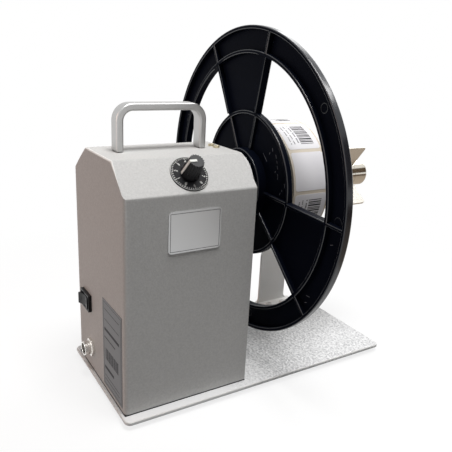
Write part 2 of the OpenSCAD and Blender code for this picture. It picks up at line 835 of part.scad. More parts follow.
module bearing_housing() {
    seat_r = bearing_od / 2 + run_gap;
    color(c_cabinet) difference() {
        union() {
            rod(housing_x0, nose_x, nose_d / 2);
            difference() {
                rod(end_in - flange_t, end_in, flange_d / 2);
                translate([end_in - flange_t - cut, -flange_d / 2, flange_top])
                    cube([flange_t + 2 * cut, flange_d, flange_d]);
            }
        }
        rod(housing_x0 - cut, nose_x + cut, housing_shoulder_r);
        rod(front_bearing_x, nose_x + cut, seat_r);
        rod(housing_x0 - cut, rear_bearing_x + bearing_w, seat_r);
        round_spindle(end_in - flange_t - cut, housing_bolt_r, housing_bolts, 45)
            cylinder(h = flange_t + 2 * cut, r = m4_r + screw_gap);
    }
}

// The sleeve that keeps dust off the front bearing
module nose_sleeve() {
    color(c_cabinet) ring(sleeve_x0, nose_x, sleeve_d / 2, nose_d / 2 + seat_gap);
}

// A sealed ball bearing: two races with a shield let in on each side
module ball_bearing(x0) {
    shield_in = 0.5;
    shield_r = bearing_od / 2 - race_w;
    inner_r = bearing_id / 2 + race_w;
    difference() {
        ring(x0, x0 + bearing_w, bearing_od / 2, bearing_id / 2);
        ring(x0 - cut, x0 + shield_in, shield_r, inner_r);
        ring(x0 + bearing_w - shield_in, x0 + bearing_w + cut, shield_r, inner_r);
    }
}

module front_bearing() {
    color(c_steel) ball_bearing(front_bearing_x);
}

module rear_bearing() {
    color(c_steel) ball_bearing(rear_bearing_x);
}

module housing_screws() {
    color(c_steel) round_spindle(cab_x1, housing_bolt_r, housing_bolts, 45)
        screw(m4_r, sheet_t + flange_t, m4_head_r, m4_head_h);
}

module spindle() {
    groove_x = rear_bearing_x - free_gap - ring_t;
    color(c_steel) difference() {
        union() {
            rod(tail_x0, journal_x0 + cut, tail_r);
            rod(journal_x0, front_bearing_x + bearing_w + free_gap + cut, journal_r);
            rod(front_bearing_x + bearing_w + free_gap, nose_x + cut + cut, shoulder_r);
            rod(nose_x + cut, fin_x1 + cut, spindle_r);
            rod(fin_x1, spindle_end - spindle_round, tip_r);
            translate([spindle_end - spindle_round, 0, z_axis]) rotate([0, 90, 0])
                rotate_extrude() intersection() {
                    union() {
                        square([tip_r - spindle_round, spindle_round]);
                        translate([tip_r - spindle_round, 0]) circle(spindle_round);
                    }
                    square([tip_r, spindle_round]);
                }
        }
        ring(groove_x - seat_gap, groove_x + ring_t + seat_gap, journal_r + cut, journal_r - ring_depth);
        for (i = [0:fin_count - 1]) at_fin(i)
            translate([fin_x0 - seat_gap, 0, -fin_t / 2 - run_gap])
                cube([fin_len + 2 * seat_gap, spindle_r + cut, fin_t + 2 * run_gap]);
    }
}

// Places a fin's slot or blade: Y points out of the spindle, from the bottom of the slot
module at_fin(i) {
    translate([0, 0, z_axis]) rotate([180 - fin_phase - i * 360 / fin_count, 0, 0])
        translate([0, fin_root_r, 0]) children();
}

module retaining_ring() {
    color(c_steel) ring(rear_bearing_x - free_gap - ring_t, rear_bearing_x - free_gap,
                        shoulder_r, journal_r - ring_depth + run_gap);
}

// An endless slice centred on the first axis, with its point moved out along that axis
module wedge(reach, span, point = 0) {
    edge = reach * [cos(span / 2), sin(span / 2)];
    translate([point, 0]) polygon([[0, 0], [edge[0], -edge[1]], [reach, 0], edge]);
}

// Turns an outline in Y and Z round the spindle and gives it a thickness along X
module disc_part(x0, x1, angle = 0) {
    translate([x0, 0, z_axis]) rotate([angle, 0, 0]) rotate([90, 0, 90]) linear_extrude(x1 - x0) children();
}

// A slice of a ring round the spindle, for a window or a pocket
module slice(x0, x1, band, angle, span, point = 0) {
    disc_part(x0, x1, angle) difference() {
        intersection() {
            circle(band[1]);
            wedge(2 * band[1], span, point);
        }
        circle(band[0]);
    }
}

// What the rounding takes off the rim, on the side of the roll
module rim_corner() {
    translate([reel_x1 - rim_round, 0, z_axis]) rotate([0, 90, 0]) rotate_extrude()
        translate([reel_r - rim_round, 0]) difference() {
            square(rim_round + cut);
            circle(rim_round);
        }
}

// A full disc with windows between the spokes, and pockets that leave the lips and ribs standing
module reel_wheel() {
    web_x0 = reel_x1 - web_t;
    web_mid = reel_x1 - web_t / 2;
    front = reel_x0 - cut;
    pitch = 360 / spoke_count;
    gap_span = pitch - spoke_span;
    rib_point = rib_w / sin(spoke_span / 2);
    hub_band = [boss_r - cut, hub_r - lip_w];
    spoke_band = [hub_r, ring_in_r];
    ring_band = [ring_in_r + lip_w, reel_r - lip_w];
    color(c_black) difference() {
        union() {
            difference() {
                rod(reel_x0, reel_x1, reel_r);
                for (i = [0:spoke_count - 1]) {
                    angle = spoke_phase + i * pitch;
                    slice(front, reel_x1 + cut, spoke_band, angle + pitch / 2, gap_span);
                    for (band = [hub_band, ring_band])
                        slice(front, web_x0, band, angle + pitch / 2, gap_span);
                    for (band = [hub_band, spoke_band, ring_band])
                        slice(front, web_x0, band, angle, spoke_span, rib_point);
                }
                rod(front, reel_x0 + hub_recess, hub_r + cut);
                rim_corner();
            }
            rod(reel_x0 - boss_out, web_mid, boss_r);
        }
        rod(reel_x0 - boss_out - cut, reel_x1 + cut, spindle_r + seat_gap);
        round_spindle(reel_x0 - boss_out - cut, collar_bolt_r, collar_bolts)
            cylinder(h = reel_t + boss_out + 2 * cut, r = m3_r + screw_gap);
        round_spindle(reel_x0 - boss_out - cut, collar_bolt_r, collar_bolts)
            cylinder(h = m3_head_h + head_sink + cut, r = m3_head_r + free_gap);
    }
}

module wheel_collar() {
    color(c_steel) difference() {
        rod(reel_x1, reel_x1 + collar_len, collar_r);
        rod(reel_x1 - cut, reel_x1 + collar_len + cut, spindle_r + seat_gap);
        round_spindle(reel_x1 - cut, collar_bolt_r, collar_bolts)
            cylinder(h = collar_bolt_depth + cut, r = m3_r + screw_gap);
        translate([reel_x1 + collar_len / 2, 0, z_axis]) rotate([collar_set_angle, 0, 0])
            cylinder(h = collar_r + cut, r = grub_r + screw_gap);
    }
}

module collar_screws() {
    head_seat = reel_x0 - boss_out + m3_head_h + head_sink;
    color(c_steel) {
        round_spindle(head_seat, collar_bolt_r, collar_bolts) mirror([0, 0, 1])
            screw(m3_r, reel_x1 - head_seat + collar_bolt_depth - cut, m3_head_r, m3_head_h);
        translate([reel_x1 + collar_len / 2, 0, z_axis]) rotate([collar_set_angle, 0, 0])
            translate([0, 0, spindle_r + seat_gap]) cylinder(h = collar_r - spindle_r - cut, r = grub_r);
    }
}

module core_fins() {
    blade_h = fin_tip_r - fin_root_r;
    color(c_steel) for (i = [0:fin_count - 1]) at_fin(i)
        translate([fin_x0, seat_gap / 2, -fin_t / 2]) difference() {
            cube([fin_len, blade_h - seat_gap / 2, fin_t]);
            for (end = [0, 1]) translate([end * fin_len, blade_h - seat_gap / 2, -cut]) mirror([end, 0, 0])
                difference() {
                    translate([-cut, -fin_corner_r, 0])
                        cube([fin_corner_r + cut, fin_corner_r + cut, fin_t + 2 * cut]);
                    translate([fin_corner_r, -fin_corner_r, -cut])
                        cylinder(h = fin_t + 4 * cut, r = fin_corner_r);
                }
        }
}

module roll_core() {
    color([0.66, 0.52, 0.36]) ring(roll_x0, roll_x0 + roll_w, core_od / 2, core_bore_d / 2);
}

// The wound web, with the step where its outermost turn ends
module label_web() {
    color(c_white) disc_part(roll_x0, roll_x0 + roll_w, turn_end_angle) difference() {
        union() {
            circle(roll_d / 2 - web_turn_t);
            difference() {
                circle(roll_d / 2);
                wedge(roll_d, turn_gap_angle);
            }
        }
        circle(core_od / 2 + seat_gap);
    }
}

module shaft_coupling() {
    mid = coupling_x0 + coupling_len / 2;
    slit_xs = [mid - 2 * coupling_slit, mid + 2 * coupling_slit];
    color(c_alu) difference() {
        rod(coupling_x0, coupling_x1, coupling_d / 2);
        rod(mid, coupling_x1 + cut, tail_r + run_gap);
        rod(coupling_x0 - cut, mid + cut, motor_shaft_d / 2 + run_gap);
        for (x = [coupling_x0 + coupling_len / 4, coupling_x1 - coupling_len / 4])
            translate([x, 0, z_axis]) cylinder(h = coupling_d, r = grub_r + screw_gap);
        for (x = slit_xs)
            ring(x - coupling_slit / 2, x + coupling_slit / 2,
                 coupling_d, coupling_d / 2 - coupling_slit_depth);
    }
}

module coupling_screws() {
    inset_x = coupling_len / 4;
    places = [[coupling_x0 + inset_x, motor_shaft_d / 2], [coupling_x1 - inset_x, tail_r]];
    color(c_steel) for (p = places)
        translate([p[0], 0, z_axis + p[1] + seat_gap]) cylinder(h = grub_len, r = grub_r);
}

module motor_shaft() {
    shaft_x1 = coupling_x0 + coupling_len / 2 - shaft_gap;
    color(c_steel) rod(bracket_x0 - motor_shaft_in, shaft_x1, motor_shaft_d / 2);
}

module gear_motor() {
    gearbox_x0 = bracket_x0 - gearbox_len;
    motor_x0 = gearbox_x0 - motor_len;
    color(c_steel) difference() {
        union() {
            rod(gearbox_x0, bracket_x0, gearbox_d / 2);
            rod(motor_x0, gearbox_x0 + cut, motor_d / 2);
            rod(motor_x0 - motor_cap, motor_x0 + cut, motor_d / 4);
            rod(bracket_x0 - cut, bracket_x1, motor_boss_r);
        }
        rod(bracket_x0 - motor_shaft_in - free_gap, bracket_x1 + cut, motor_shaft_d / 2 + run_gap);
        round_spindle(bracket_x0 - motor_bolt_depth - cut, motor_bolt_r, motor_bolts, 45)
            cylinder(h = motor_bolt_depth + 2 * cut, r = m3_r + screw_gap);
    }
}

module motor_bracket() {
    color(c_steel) difference() {
        union() {
            translate([bracket_x0, -bracket_w / 2, z_base]) {
                cube([bracket_t, bracket_w, axis_h + bracket_top]);
                cube([bracket_foot + bracket_t, bracket_w, bracket_t]);
            }
        }
        rod(bracket_x0 - cut, bracket_x1 + cut, motor_boss_r + seat_gap);
        round_spindle(bracket_x0 - cut, motor_bolt_r, motor_bolts, 45)
            cylinder(h = bracket_t + 2 * cut, r = m3_r + screw_gap);
        for (s = [-1, 1]) translate([bracket_x1 + bracket_foot / 2, s * bracket_screw_y, z_base - cut])
            cylinder(h = bracket_t + 2 * cut, r = m4_r + screw_gap);
    }
}

module motor_screws() {
    color(c_steel) round_spindle(bracket_x1, motor_bolt_r, motor_bolts, 45)
        screw(m3_r, bracket_t + motor_bolt_depth - cut, m3_head_r, m3_head_h);
}

module bracket_screws() {
    color(c_steel) for (s = [-1, 1])
        translate([bracket_x1 + bracket_foot / 2, s * bracket_screw_y, z_base + bracket_t])
            screw(m4_r, base_t + bracket_t, m4_head_r, m4_head_h);
}

module control_board() {
    color(c_green) difference() {
        translate([board_x0, board_y0, board_z]) cube([board_len, board_w, board_t]);
        for (x = board_hole_xs, y = board_hole_ys)
            translate([x, y, board_z - cut]) cylinder(h = board_t + 2 * cut, r = m3_r + screw_gap);
    }
}

module board_standoffs() {
    color(c_brass) for (x = board_hole_xs, y = board_hole_ys) translate([x, y, 0]) difference() {
        union() {
            translate([0, 0, z_base]) cylinder(h = board_z - z_base, r = standoff_r, $fn = 6);
            translate([0, 0, foot_h]) cylinder(h = base_t + cut, r = m3_r);
        }
        translate([0, 0, board_z - standoff_thread])
            cylinder(h = standoff_thread + cut, r = m3_r + screw_gap);
    }
}

module board_screws() {
    color(c_steel) for (x = board_hole_xs, y = board_hole_ys)
        translate([x, y, board_z + board_t]) screw(m3_r, board_t + board_screw_in, m3_head_r, m3_head_h);
}

// Places children on the control board's top, at a distance from its front left corner
module on_board(at) {
    translate([board_x0 + at[0], board_y0 + at[1], board_z + board_t]) children();
}

module heat_sink() {
    pitch = (sink_w - sink_fin_t) / (sink_fins - 1);
    color(c_black) on_board(sink_at) {
        cube([sink_len, sink_w, sink_base]);
        for (i = [0:sink_fins - 1]) translate([0, i * pitch, 0]) cube([sink_len, sink_fin_t, sink_h]);
    }
}

module board_capacitor() {
    color(c_black) on_board(cap_at) difference() {
        cylinder(h = cap_h, r = cap_d / 2);
        for (a = [0, 90])
            rotate(a) translate([-cap_vent[0] / 2, -cap_vent[1] / 2, cap_h - cap_vent[2]]) cube(cap_vent);
    }
}

module terminal_block() {
    color(c_green) on_board(term_at) difference() {
        cube([term_poles * term_pitch, term_w, term_h]);
        for (i = [0:term_poles - 1])
            translate([(i + 0.5) * term_pitch, term_w / 2, term_h - term_well])
                cylinder(h = term_well + cut, r = term_screw_r);
    }
}

// Outline of the upright in X and Z, with fillets down to its foot
function guide_outline() =
    let (half = guide_w / 2, flare = half + guide_fillet_r, level = guide_t + guide_fillet_r,
         shoulder = half - guide_corner_r, top = guide_h - guide_corner_r)
    concat(
        [[-guide_foot_w / 2, 0], [guide_foot_w / 2, 0], [guide_foot_w / 2, guide_t]],
        arc([flare, level], guide_fillet_r, 270, 180),
        arc([shoulder, top], guide_corner_r, 0, 90),
        arc([-shoulder, top], guide_corner_r, 90, 180),
        arc([-flare, level], guide_fillet_r, 0, -90),
        [[-guide_foot_w / 2, guide_t]]
    );

module guide_plate() {
    color(c_cabinet) difference() {
        union() {
            translate([guide_x, guide_y1, z_base]) rotate([90, 0, 0])
                linear_extrude(guide_t) polygon(guide_outline());
            translate([guide_x - guide_foot_w / 2, guide_y1 - guide_foot, z_base])
                cube([guide_foot_w, guide_foot, guide_t]);
        }
        for (s = [-1, 1])
            translate([guide_x + s * guide_screw_dx, guide_y1 - guide_foot / 2, z_base - cut])
                cylinder(h = guide_t + 2 * cut, r = m4_r + screw_gap);
    }
}

module guide_screws() {
    color(c_steel) for (s = [-1, 1])
        translate([guide_x + s * guide_screw_dx, guide_y1 - guide_foot / 2, z_base + guide_t])
            screw(m4_r, base_t + guide_t, m4_head_r, m4_head_h);
}

base_plate();
rubber_feet();
foot_screws();
cabinet_cover();
right_end_plate();
cabinet_screws();
roof_screws();
carry_handle();
handle_screws();
name_plate();
rating_sticker();
dial_plate();
potentiometer();
pot_nut();
speed_knob();
pot_shaft();
switch_housing();
switch_rocker();
socket_shell();
socket_insert();
socket_nut();
bearing_housing();
nose_sleeve();
front_bearing();
rear_bearing();
housing_screws();
spindle();
retaining_ring();
reel_wheel();
wheel_collar();
collar_screws();
core_fins();
roll_core();
label_web();
shaft_coupling();
coupling_screws();
motor_shaft();
gear_motor();
motor_bracket();
motor_screws();
bracket_screws();
control_board();
board_standoffs();
board_screws();
heat_sink();
board_capacitor();
terminal_block();
guide_plate();
guide_screws();
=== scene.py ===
"""Looks of a bench-top label rewinder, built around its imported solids.

Lengths are millimetres in this script. They become metres when a mesh is handed over.
X runs along the spindle to its free end, Y to the back and Z up, with the bench at 0.
"""

import json
import logging
import math
from dataclasses import dataclass, field
from enum import Enum
from typing import Callable, Optional, Sequence, Union

import bmesh
import bpy
from mathutils import Matrix, Vector


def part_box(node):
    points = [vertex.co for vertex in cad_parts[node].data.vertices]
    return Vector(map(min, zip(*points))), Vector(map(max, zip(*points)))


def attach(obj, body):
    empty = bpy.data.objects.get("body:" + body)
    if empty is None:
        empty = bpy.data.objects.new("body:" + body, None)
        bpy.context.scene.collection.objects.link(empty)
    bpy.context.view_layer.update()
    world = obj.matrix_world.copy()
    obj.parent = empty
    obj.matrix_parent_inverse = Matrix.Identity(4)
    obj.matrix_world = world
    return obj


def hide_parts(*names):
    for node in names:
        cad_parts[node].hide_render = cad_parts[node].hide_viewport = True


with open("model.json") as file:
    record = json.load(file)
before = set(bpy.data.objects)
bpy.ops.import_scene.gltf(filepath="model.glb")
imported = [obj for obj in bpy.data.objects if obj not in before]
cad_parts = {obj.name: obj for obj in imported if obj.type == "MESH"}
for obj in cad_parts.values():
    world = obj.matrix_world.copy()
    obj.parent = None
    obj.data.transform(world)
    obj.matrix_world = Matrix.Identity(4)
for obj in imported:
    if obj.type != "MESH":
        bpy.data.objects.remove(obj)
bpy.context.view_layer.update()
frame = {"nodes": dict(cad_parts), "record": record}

Triple = tuple[float, float, float]
Point = Sequence[float]
Mesh = bmesh.types.BMesh
Edge = bmesh.types.BMEdge
Face = bmesh.types.BMFace
Tree = bpy.types.NodeTree
Node = bpy.types.Node
Socket = bpy.types.NodeSocket
Level = Union[float, Socket]
EdgeTest = Callable[[Edge], bool]
FaceTest = Callable[[Face], bool]

LOG = logging.getLogger("label_rewinder")
BODIES = frame["record"]["behaviour"]["bodies"]

MM = 0.001
WHITE = "#FFFFFF"
# Height of the spindle's axis
AXIS_Z = 167.5
# A point this close to a plane lies on it
TOUCH = 0.01
# Corners of a solid's triangles this close are one corner
MERGE = 0.002
# An edge this short has no length
NO_LENGTH = 0.0005
# Triangles that turn less than this are one flat face
FLAT = math.radians(0.4)
# Faces that turn more than this meet in a sharp edge
CREASE = math.radians(38)
# Edges that meet at a wider angle run on as one line
STRAIGHT_ON = math.radians(140)
# Room that a rounding needs along an edge that it crosses at one end, and at both, in its widths
ROOM, ROOM_BOTH = 1.1, 2.1
# Radians that a wave texture of scale 1 turns through in one unit
WAVE_RATE = 20.0


class Body(str, Enum):
    """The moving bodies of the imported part."""

    FRAME = "frame"
    REEL = "reel"
    ROLL = "label_roll"
    KNOB = "knob"
    ROCKER = "rocker"


BODY_OF = {node: Body(body) for body, nodes in BODIES.items() for node in nodes}


def linear(code: str) -> tuple[float, float, float, float]:
    """Turns an sRGB hex colour into the linear colour that shaders take."""
    parts = [int(code[i : i + 2], 16) / 255 for i in (1, 3, 5)]
    return (*(c / 12.92 if c <= 0.04045 else ((c + 0.055) / 1.055) ** 2.4 for c in parts), 1.0)


def add_node(tree: Tree, kind: str, inputs: Optional[dict] = None, **settings: object) -> Node:
    """Adds a shader node.

    Args:
        tree: The tree that takes the node.
        kind: The node's type name.
        inputs: Socket name or number, and the value or the socket that feeds it.
        settings: Attributes of the node.

    Returns:
        The new node.
    """
    node = tree.nodes.new(kind)
    for key, value in settings.items():
        setattr(node, key, value)
    for key, value in (inputs or {}).items():
        if isinstance(value, Socket):
            tree.links.new(value, node.inputs[key])
        else:
            node.inputs[key].default_value = value
    return node


def bare_tree(owner: bpy.types.ID) -> Tree:
    """Empties a node tree.

    Args:
        owner: The material or the world that has it.

    Returns:
        The tree.
    """
    owner.use_nodes = True
    owner.node_tree.nodes.clear()
    return owner.node_tree


def noise(tree: Tree, where: Socket, size: float, **more: float) -> Node:
    """Adds a noise texture with patches of a given size."""
    inputs = {"Vector": where, "Scale": 1 / (size * MM), **more}
    return add_node(tree, "ShaderNodeTexNoise", inputs)


def ramp(tree: Tree, value: Level, start: float, end: float, low: float = 0.0, high: Level = 1.0) -> Socket:
    """Returns a value that goes from low to high while another goes from start to end."""
    inputs = {"Value": value, "From Min": start, "From Max": end, "To Min": low, "To Max": high}
    return add_node(tree, "ShaderNodeMapRange", inputs).outputs[0]


@dataclass(frozen=True)
class Finish:
    """A surface as its maker left it: a colour that drifts a little, a gloss and a grain.

    The drift is a second tone in patches of drift_mm. The gloss wanders with the grain, and stretch
    draws the grain out along the axes.
    """

    name: str
    colour: str
    roughness: float = 0.5
    metallic: float = 0.0
    specular: float = 0.5
    drift: Optional[str] = None
    drift_mm: float = 25.0
    grain_mm: float = 0.0
    grain_depth: float = 0.0
    gloss_spread: float = 0.0
    stretch: Triple = (1.0, 1.0, 1.0)

    def material(self) -> bpy.types.Material:
        """Returns the finish's material, made the first time it is asked for."""
        known = bpy.data.materials.get(self.name)
        if known:
            return known
        made = bpy.data.materials.new(self.name)
        tree = bare_tree(made)
        fixed = {"Base Color": linear(self.colour), "Roughness": self.roughness, "Metallic": self.metallic,
                 "Specular IOR Level": self.specular}
        shader = add_node(tree, "ShaderNodeBsdfPrincipled", fixed)
        add_node(tree, "ShaderNodeOutputMaterial", {"Surface": shader.outputs[0]})
        for key, value in self.variation(tree).items():
            tree.links.new(value, shader.inputs[key])
        return made

    def variation(self, tree: Tree) -> dict[str, Socket]:
        """Makes what varies over the surface: the tone, the bump and the gloss.

        Args:
            tree: The material's nodes.

        Returns:
            What feeds the shader, by the names of its inputs.
        """
        where = add_node(tree, "ShaderNodeTexCoord").outputs["Object"]
        fed = {}
        if self.drift:
            tones = {0: self.share(tree, where), 6: linear(self.colour), 7: linear(self.drift)}
            fed["Base Color"] = add_node(tree, "ShaderNodeMix", tones, data_type="RGBA").outputs[2]
        height = self.pattern(tree, where) if self.grain_mm else 0.0
        if self.grain_depth:
            bump = {"Distance": self.grain_depth * MM, "Height": height}
            fed["Normal"] = add_node(tree, "ShaderNodeBump", bump).outputs[0]
        if self.gloss_spread:
            least, most = self.roughness - self.gloss_spread, self.roughness + self.gloss_spread
            fed["Roughness"] = ramp(tree, height, 0.0, 1.0, least, most)
        return fed

    def share(self, tree: Tree, where: Socket) -> Socket:
        """Returns the share of the second tone, from 0 to 1."""
        return noise(tree, where, self.drift_mm, Detail=3.0).outputs["Fac"]

    def pattern(self, tree: Tree, where: Socket) -> Socket:
        """Returns the height of the grain, from 0 to 1."""
        spread = add_node(tree, "ShaderNodeMapping", {0: where, "Scale": [1 / s for s in self.stretch]})
        return noise(tree, spread.outputs[0], self.grain_mm, Detail=2.0).outputs["Fac"]


@dataclass(frozen=True)
class Hammered(Finish):
    """Paint that draws up into small flaky cells as it dries, but lies smooth on the plate's left half."""

    smooth_to: float = -45.0
    full_from: float = 5.0
    flake_from: float = 0.4
    flake_full: float = 0.7
    bend_rate: float = 0.4

    def inside(self, tree: Tree, where: Socket) -> Socket:
        """Returns 1 on the plate's open half and 0 round the cabinet."""
        along = add_node(tree, "ShaderNodeSeparateXYZ", {0: where}).outputs["X"]
        return ramp(tree, along, self.smooth_to * MM, self.full_from * MM)

    def share(self, tree: Tree, where: Socket) -> Socket:
        """Returns the share of the darker flakes, which speckle the open half."""
        speck = noise(tree, where, self.drift_mm, Detail=2.0, Distortion=0.6).outputs["Fac"]
        return ramp(tree, speck, self.flake_from, self.flake_full, high=self.inside(tree, where))

    def pattern(self, tree: Tree, where: Socket) -> Socket:
        """Finds the height of the cells.

        Args:
            tree: The material's nodes.
            where: Object coordinates.

        Returns:
            The height, from 0 to 1.
        """
        size = self.grain_mm * MM
        bend = noise(tree, where, self.grain_mm / self.bend_rate).outputs["Color"]
        pull = {0: bend, 1: (size,) * 3, 2: where}
        moved = add_node(tree, "ShaderNodeVectorMath", pull, operation="MULTIPLY_ADD")
        inputs = {"Vector": moved.outputs[0], "Scale": 1 / size, "Smoothness": 0.5}
        cells = add_node(tree, "ShaderNodeTexVoronoi", inputs, feature="SMOOTH_F1")
        height = {0: cells.outputs["Distance"], 1: self.inside(tree, where)}
        return add_node(tree, "ShaderNodeMath", height, operation="MULTIPLY").outputs[0]


@dataclass(frozen=True)
class Wound(Finish):
    """The edge of a wound web, where the turns show as rings round the spindle."""

    def pattern(self, tree: Tree, where: Socket) -> Socket:
        """Finds the height of the turns.

        Args:
            tree: The material's nodes.
            where: Object coordinates.

        Returns:
            The height, from 0 to 1.
        """
        centre = add_node(tree, "ShaderNodeMapping", {0: where, "Location": (0, 0, -AXIS_Z * MM)})
        scale = math.tau / (WAVE_RATE * self.grain_mm * MM)
        rings = {"Vector": centre.outputs[0], "Scale": scale, "Distortion": 0.6, "Detail": 1.0}
        wave = add_node(tree, "ShaderNodeTexWave", rings, wave_type="RINGS", rings_direction="X")
        return wave.outputs["Fac"]

    def share(self, tree: Tree, where: Socket) -> Socket:
        """Lets the turns alternate between paper and liner."""
        return self.pattern(tree, where)


# Electrostatic powder, baked: a dull even grey with a fine orange peel, drawn coarser than its 0.5 mm
POWDER = Finish("steel_powder_coated", "#D2D1CF", 0.6, specular=0.4, drift="#B4B3B1", drift_mm=1.5,
                grain_mm=1.1, grain_depth=0.16, gloss_spread=0.08)
# The same powder on folds and corners: a copy that is paler and a little shinier, whose paler colour paints
# the highlight along the folds
POWDER_EDGE = Finish("steel_powder_fold_highlight", "#E4E2DF", 0.45, specular=0.5, drift="#D6D4D1", drift_mm=12)
# Hammer paint, sprayed: small flakes and cells that catch the light one by one, smooth round the cabinet
HAMMER = Hammered("steel_hammer_painted", "#E6E6E6", 0.36, specular=0.5, drift="#AAAAAC", drift_mm=2.2,
                  grain_mm=2.4, grain_depth=0.7, gloss_spread=0.12)
# The same paint round the plate's rim: smooth and a shade greyer than the bare paint but paler than the
# flaked plate beside it, a copy that paints the light caught by the rounded rim
HAMMER_EDGE = Finish("steel_hammer_rim_highlight", "#DCDCDA", 0.42, specular=0.5, drift="#D2D2D0", drift_mm=12)
# The same paint sprayed thin on a flat sheet: smooth, with a soft sheen
PAINT = Finish("steel_paint_sprayed", "#FBFAF8", 0.45, specular=0.45, drift="#F3F2F0", drift_mm=25,
               grain_mm=1.4, grain_depth=0.05, gloss_spread=0.06)
# Injection moulding in a spark-eroded tool: blue-black faces that throw hardly any light back, a shaded copy
# whose near lack of gloss paints shade over their reflections
ABS = Finish("abs_moulded_black", "#080B15", 0.42, specular=0.015, drift="#0C101B", drift_mm=40,
             grain_mm=6.0, grain_depth=0.02, gloss_spread=0.06)
# A lit copy of the moulding for its rim and edges: a little paler and much glossier, it paints sharp pale
# glints on them
ABS_EDGE = Finish("abs_edge_glints", "#14171E", 0.2, specular=0.55, drift="#1B1E26", drift_mm=15)
# Where handling has rubbed the moulding: the skin is gone and the scuff is dull and pale
# Pale dull strokes on the moulding: partly scuffs and dust, partly painted glints on the hub's moulded
# lettering
SCUFF_AND_GLINT = Finish("abs_scuffs_and_glints", "#8C8F96", 0.6, specular=0.3, drift="#5A5D63", drift_mm=3)
# Moulded in a polished tool: harder highlights than the reel
NYLON = Finish("nylon_moulded_black", "#0C0C0F", 0.3, specular=0.25, grain_mm=3.0, gloss_spread=0.05)
# Moulded with a spark-eroded texture: dull black
KNOB_PLASTIC = Finish("phenolic_moulded_black", "#101013", 0.42, specular=0.3, grain_mm=0.9,
                      grain_depth=0.02, gloss_spread=0.05)
# Anodised plate, dyed black before sealing: dull and deep
DIAL_BLACK = Finish("aluminium_anodised_black", "#0B0B0E", 0.5, specular=0.14, grain_mm=1.0,
                    gloss_spread=0.05)
# Screen-printed ink: flat and even
INK_WHITE = Finish("ink_printed_white", "#EFEFEA", 0.6, specular=0.3)
INK_BLACK = Finish("ink_printed_black", "#252427", 0.7, specular=0.2)
INK_GREY = Finish("ink_printed_grey", "#3C3D40", 0.7, specular=0.2)
# Bent bar, brushed along its length and anodised clear: the lines run with X
SATIN_BAR = Finish("aluminium_brushed_anodised", "#B4B4B3", 0.36, metallic=1.0, grain_mm=0.5,
                   grain_depth=0.015, gloss_spread=0.08, stretch=(30.0, 1.0, 1.0))
# Stamped plate, left bare: brushed across the front wall
PLATE = Finish("aluminium_rolled_bare", "#B9BABB", 0.4, metallic=1.0, grain_mm=0.5, grain_depth=0.01,
               gloss_spread=0.06, stretch=(30.0, 1.0, 1.0))
# Self-adhesive film: an even grey with a faint gloss
FILM = Finish("polyester_film_grey", "#696A6D", 0.4, specular=0.35, drift="#636467", drift_mm=20)
# Nickel over turned steel: bright, with fine turning lines round the axis, drawn coarser than 0.1 mm
NICKEL = Finish("steel_nickel_plated", "#D8D3C8", 0.14, metallic=1.0, grain_mm=0.6, grain_depth=0.006,
                gloss_spread=0.05, stretch=(1.0, 25.0, 25.0))
# Nickel over sheared sheet: softer than the turned bar
NICKEL_SHEET = Finish("steel_sheet_nickel_plated", "#D6D2CA", 0.26, metallic=1.0, drift="#CCC8C0")
# Nickel over a turned shell: bright and cool
NICKEL_SHELL = Finish("brass_nickel_plated", "#ECE9E4", 0.26, metallic=1.0, grain_mm=1.0, gloss_spread=0.05)
# Zinc, barrel plated: a greyish dull metal
ZINC = Finish("steel_zinc_plated", "#B4B6B8", 0.36, metallic=1.0, drift="#A8AAAC", drift_mm=6,
              grain_mm=2.0, gloss_spread=0.08)
# Zinc with a yellow passivation that has paled
BRASSY = Finish("steel_zinc_yellow", "#D6CCB0", 0.3, metallic=1.0, drift="#C6BA9A", drift_mm=4,
                grain_mm=2.0, gloss_spread=0.08)
# Moulded rubber: a flat dark grey that swallows the light
RUBBER = Finish("rubber_moulded", "#1A1A1A", 0.8, specular=0.3, grain_mm=1.0, grain_depth=0.05)
# Ground races and pressed shields: fine rings round the axis
GROUND = Finish("steel_ground", "#B9BBBE", 0.22, metallic=1.0, grain_mm=0.6, gloss_spread=0.05,
                stretch=(1.0, 20.0, 20.0))
# Drawn can, plated: slightly clouded
CAN = Finish("steel_can_zinc_plated", "#A7A9AC", 0.4, metallic=1.0, drift="#9C9EA1", grain_mm=3.0,
             gloss_spread=0.06)
# Turned bar: fine rings that spread the highlight
TURNED = Finish("aluminium_turned", "#C6C8CB", 0.28, metallic=1.0, grain_mm=0.6, gloss_spread=0.06,
                stretch=(1.0, 20.0, 20.0))
# Epoxy laminate under solder mask: glossy green
LAMINATE = Finish("laminate_solder_mask", "#1D5A34", 0.35, specular=0.5, drift="#184D2C", drift_mm=8)
# Extruded and anodised black: drawn lines along the fins
SINK = Finish("aluminium_extruded_black", "#161616", 0.45, metallic=0.4, grain_mm=0.6, gloss_spread=0.05,
              stretch=(30.0, 1.0, 1.0))
# Moulded electrical plastic: dark and half dull
MOULDING = Finish("nylon_moulded_dark", "#17171A", 0.45, specular=0.45, grain_mm=2.0, gloss_spread=0.05)
# Spiral-wound board: warm grey-brown with fibres
BOARD = Finish("cardboard_wound", "#A88C68", 0.85, specular=0.2, drift="#967A58", drift_mm=5,
               grain_mm=0.8, grain_depth=0.06)
# Coated label stock: white, with a faint gloss
LABEL = Finish("paper_coated_white", "#EAE8EA", 0.55, specular=0.35, drift="#E4E2E6", drift_mm=15)
# Glassine under the labels: greyish beige and a little shiny
LINER = Finish("paper_glassine_liner", "#D8CDBD", 0.5, specular=0.4, drift="#CFC3B2", drift_mm=10)
# Slit edges of the wound web: cream rings, drawn much coarser than the 0.15 mm of one layer
EDGES = Wound("paper_slit_edges", "#F0E6D2", 0.8, specular=0.2, drift="#D9CBB2", grain_mm=3.1416,
              grain_depth=0.05)


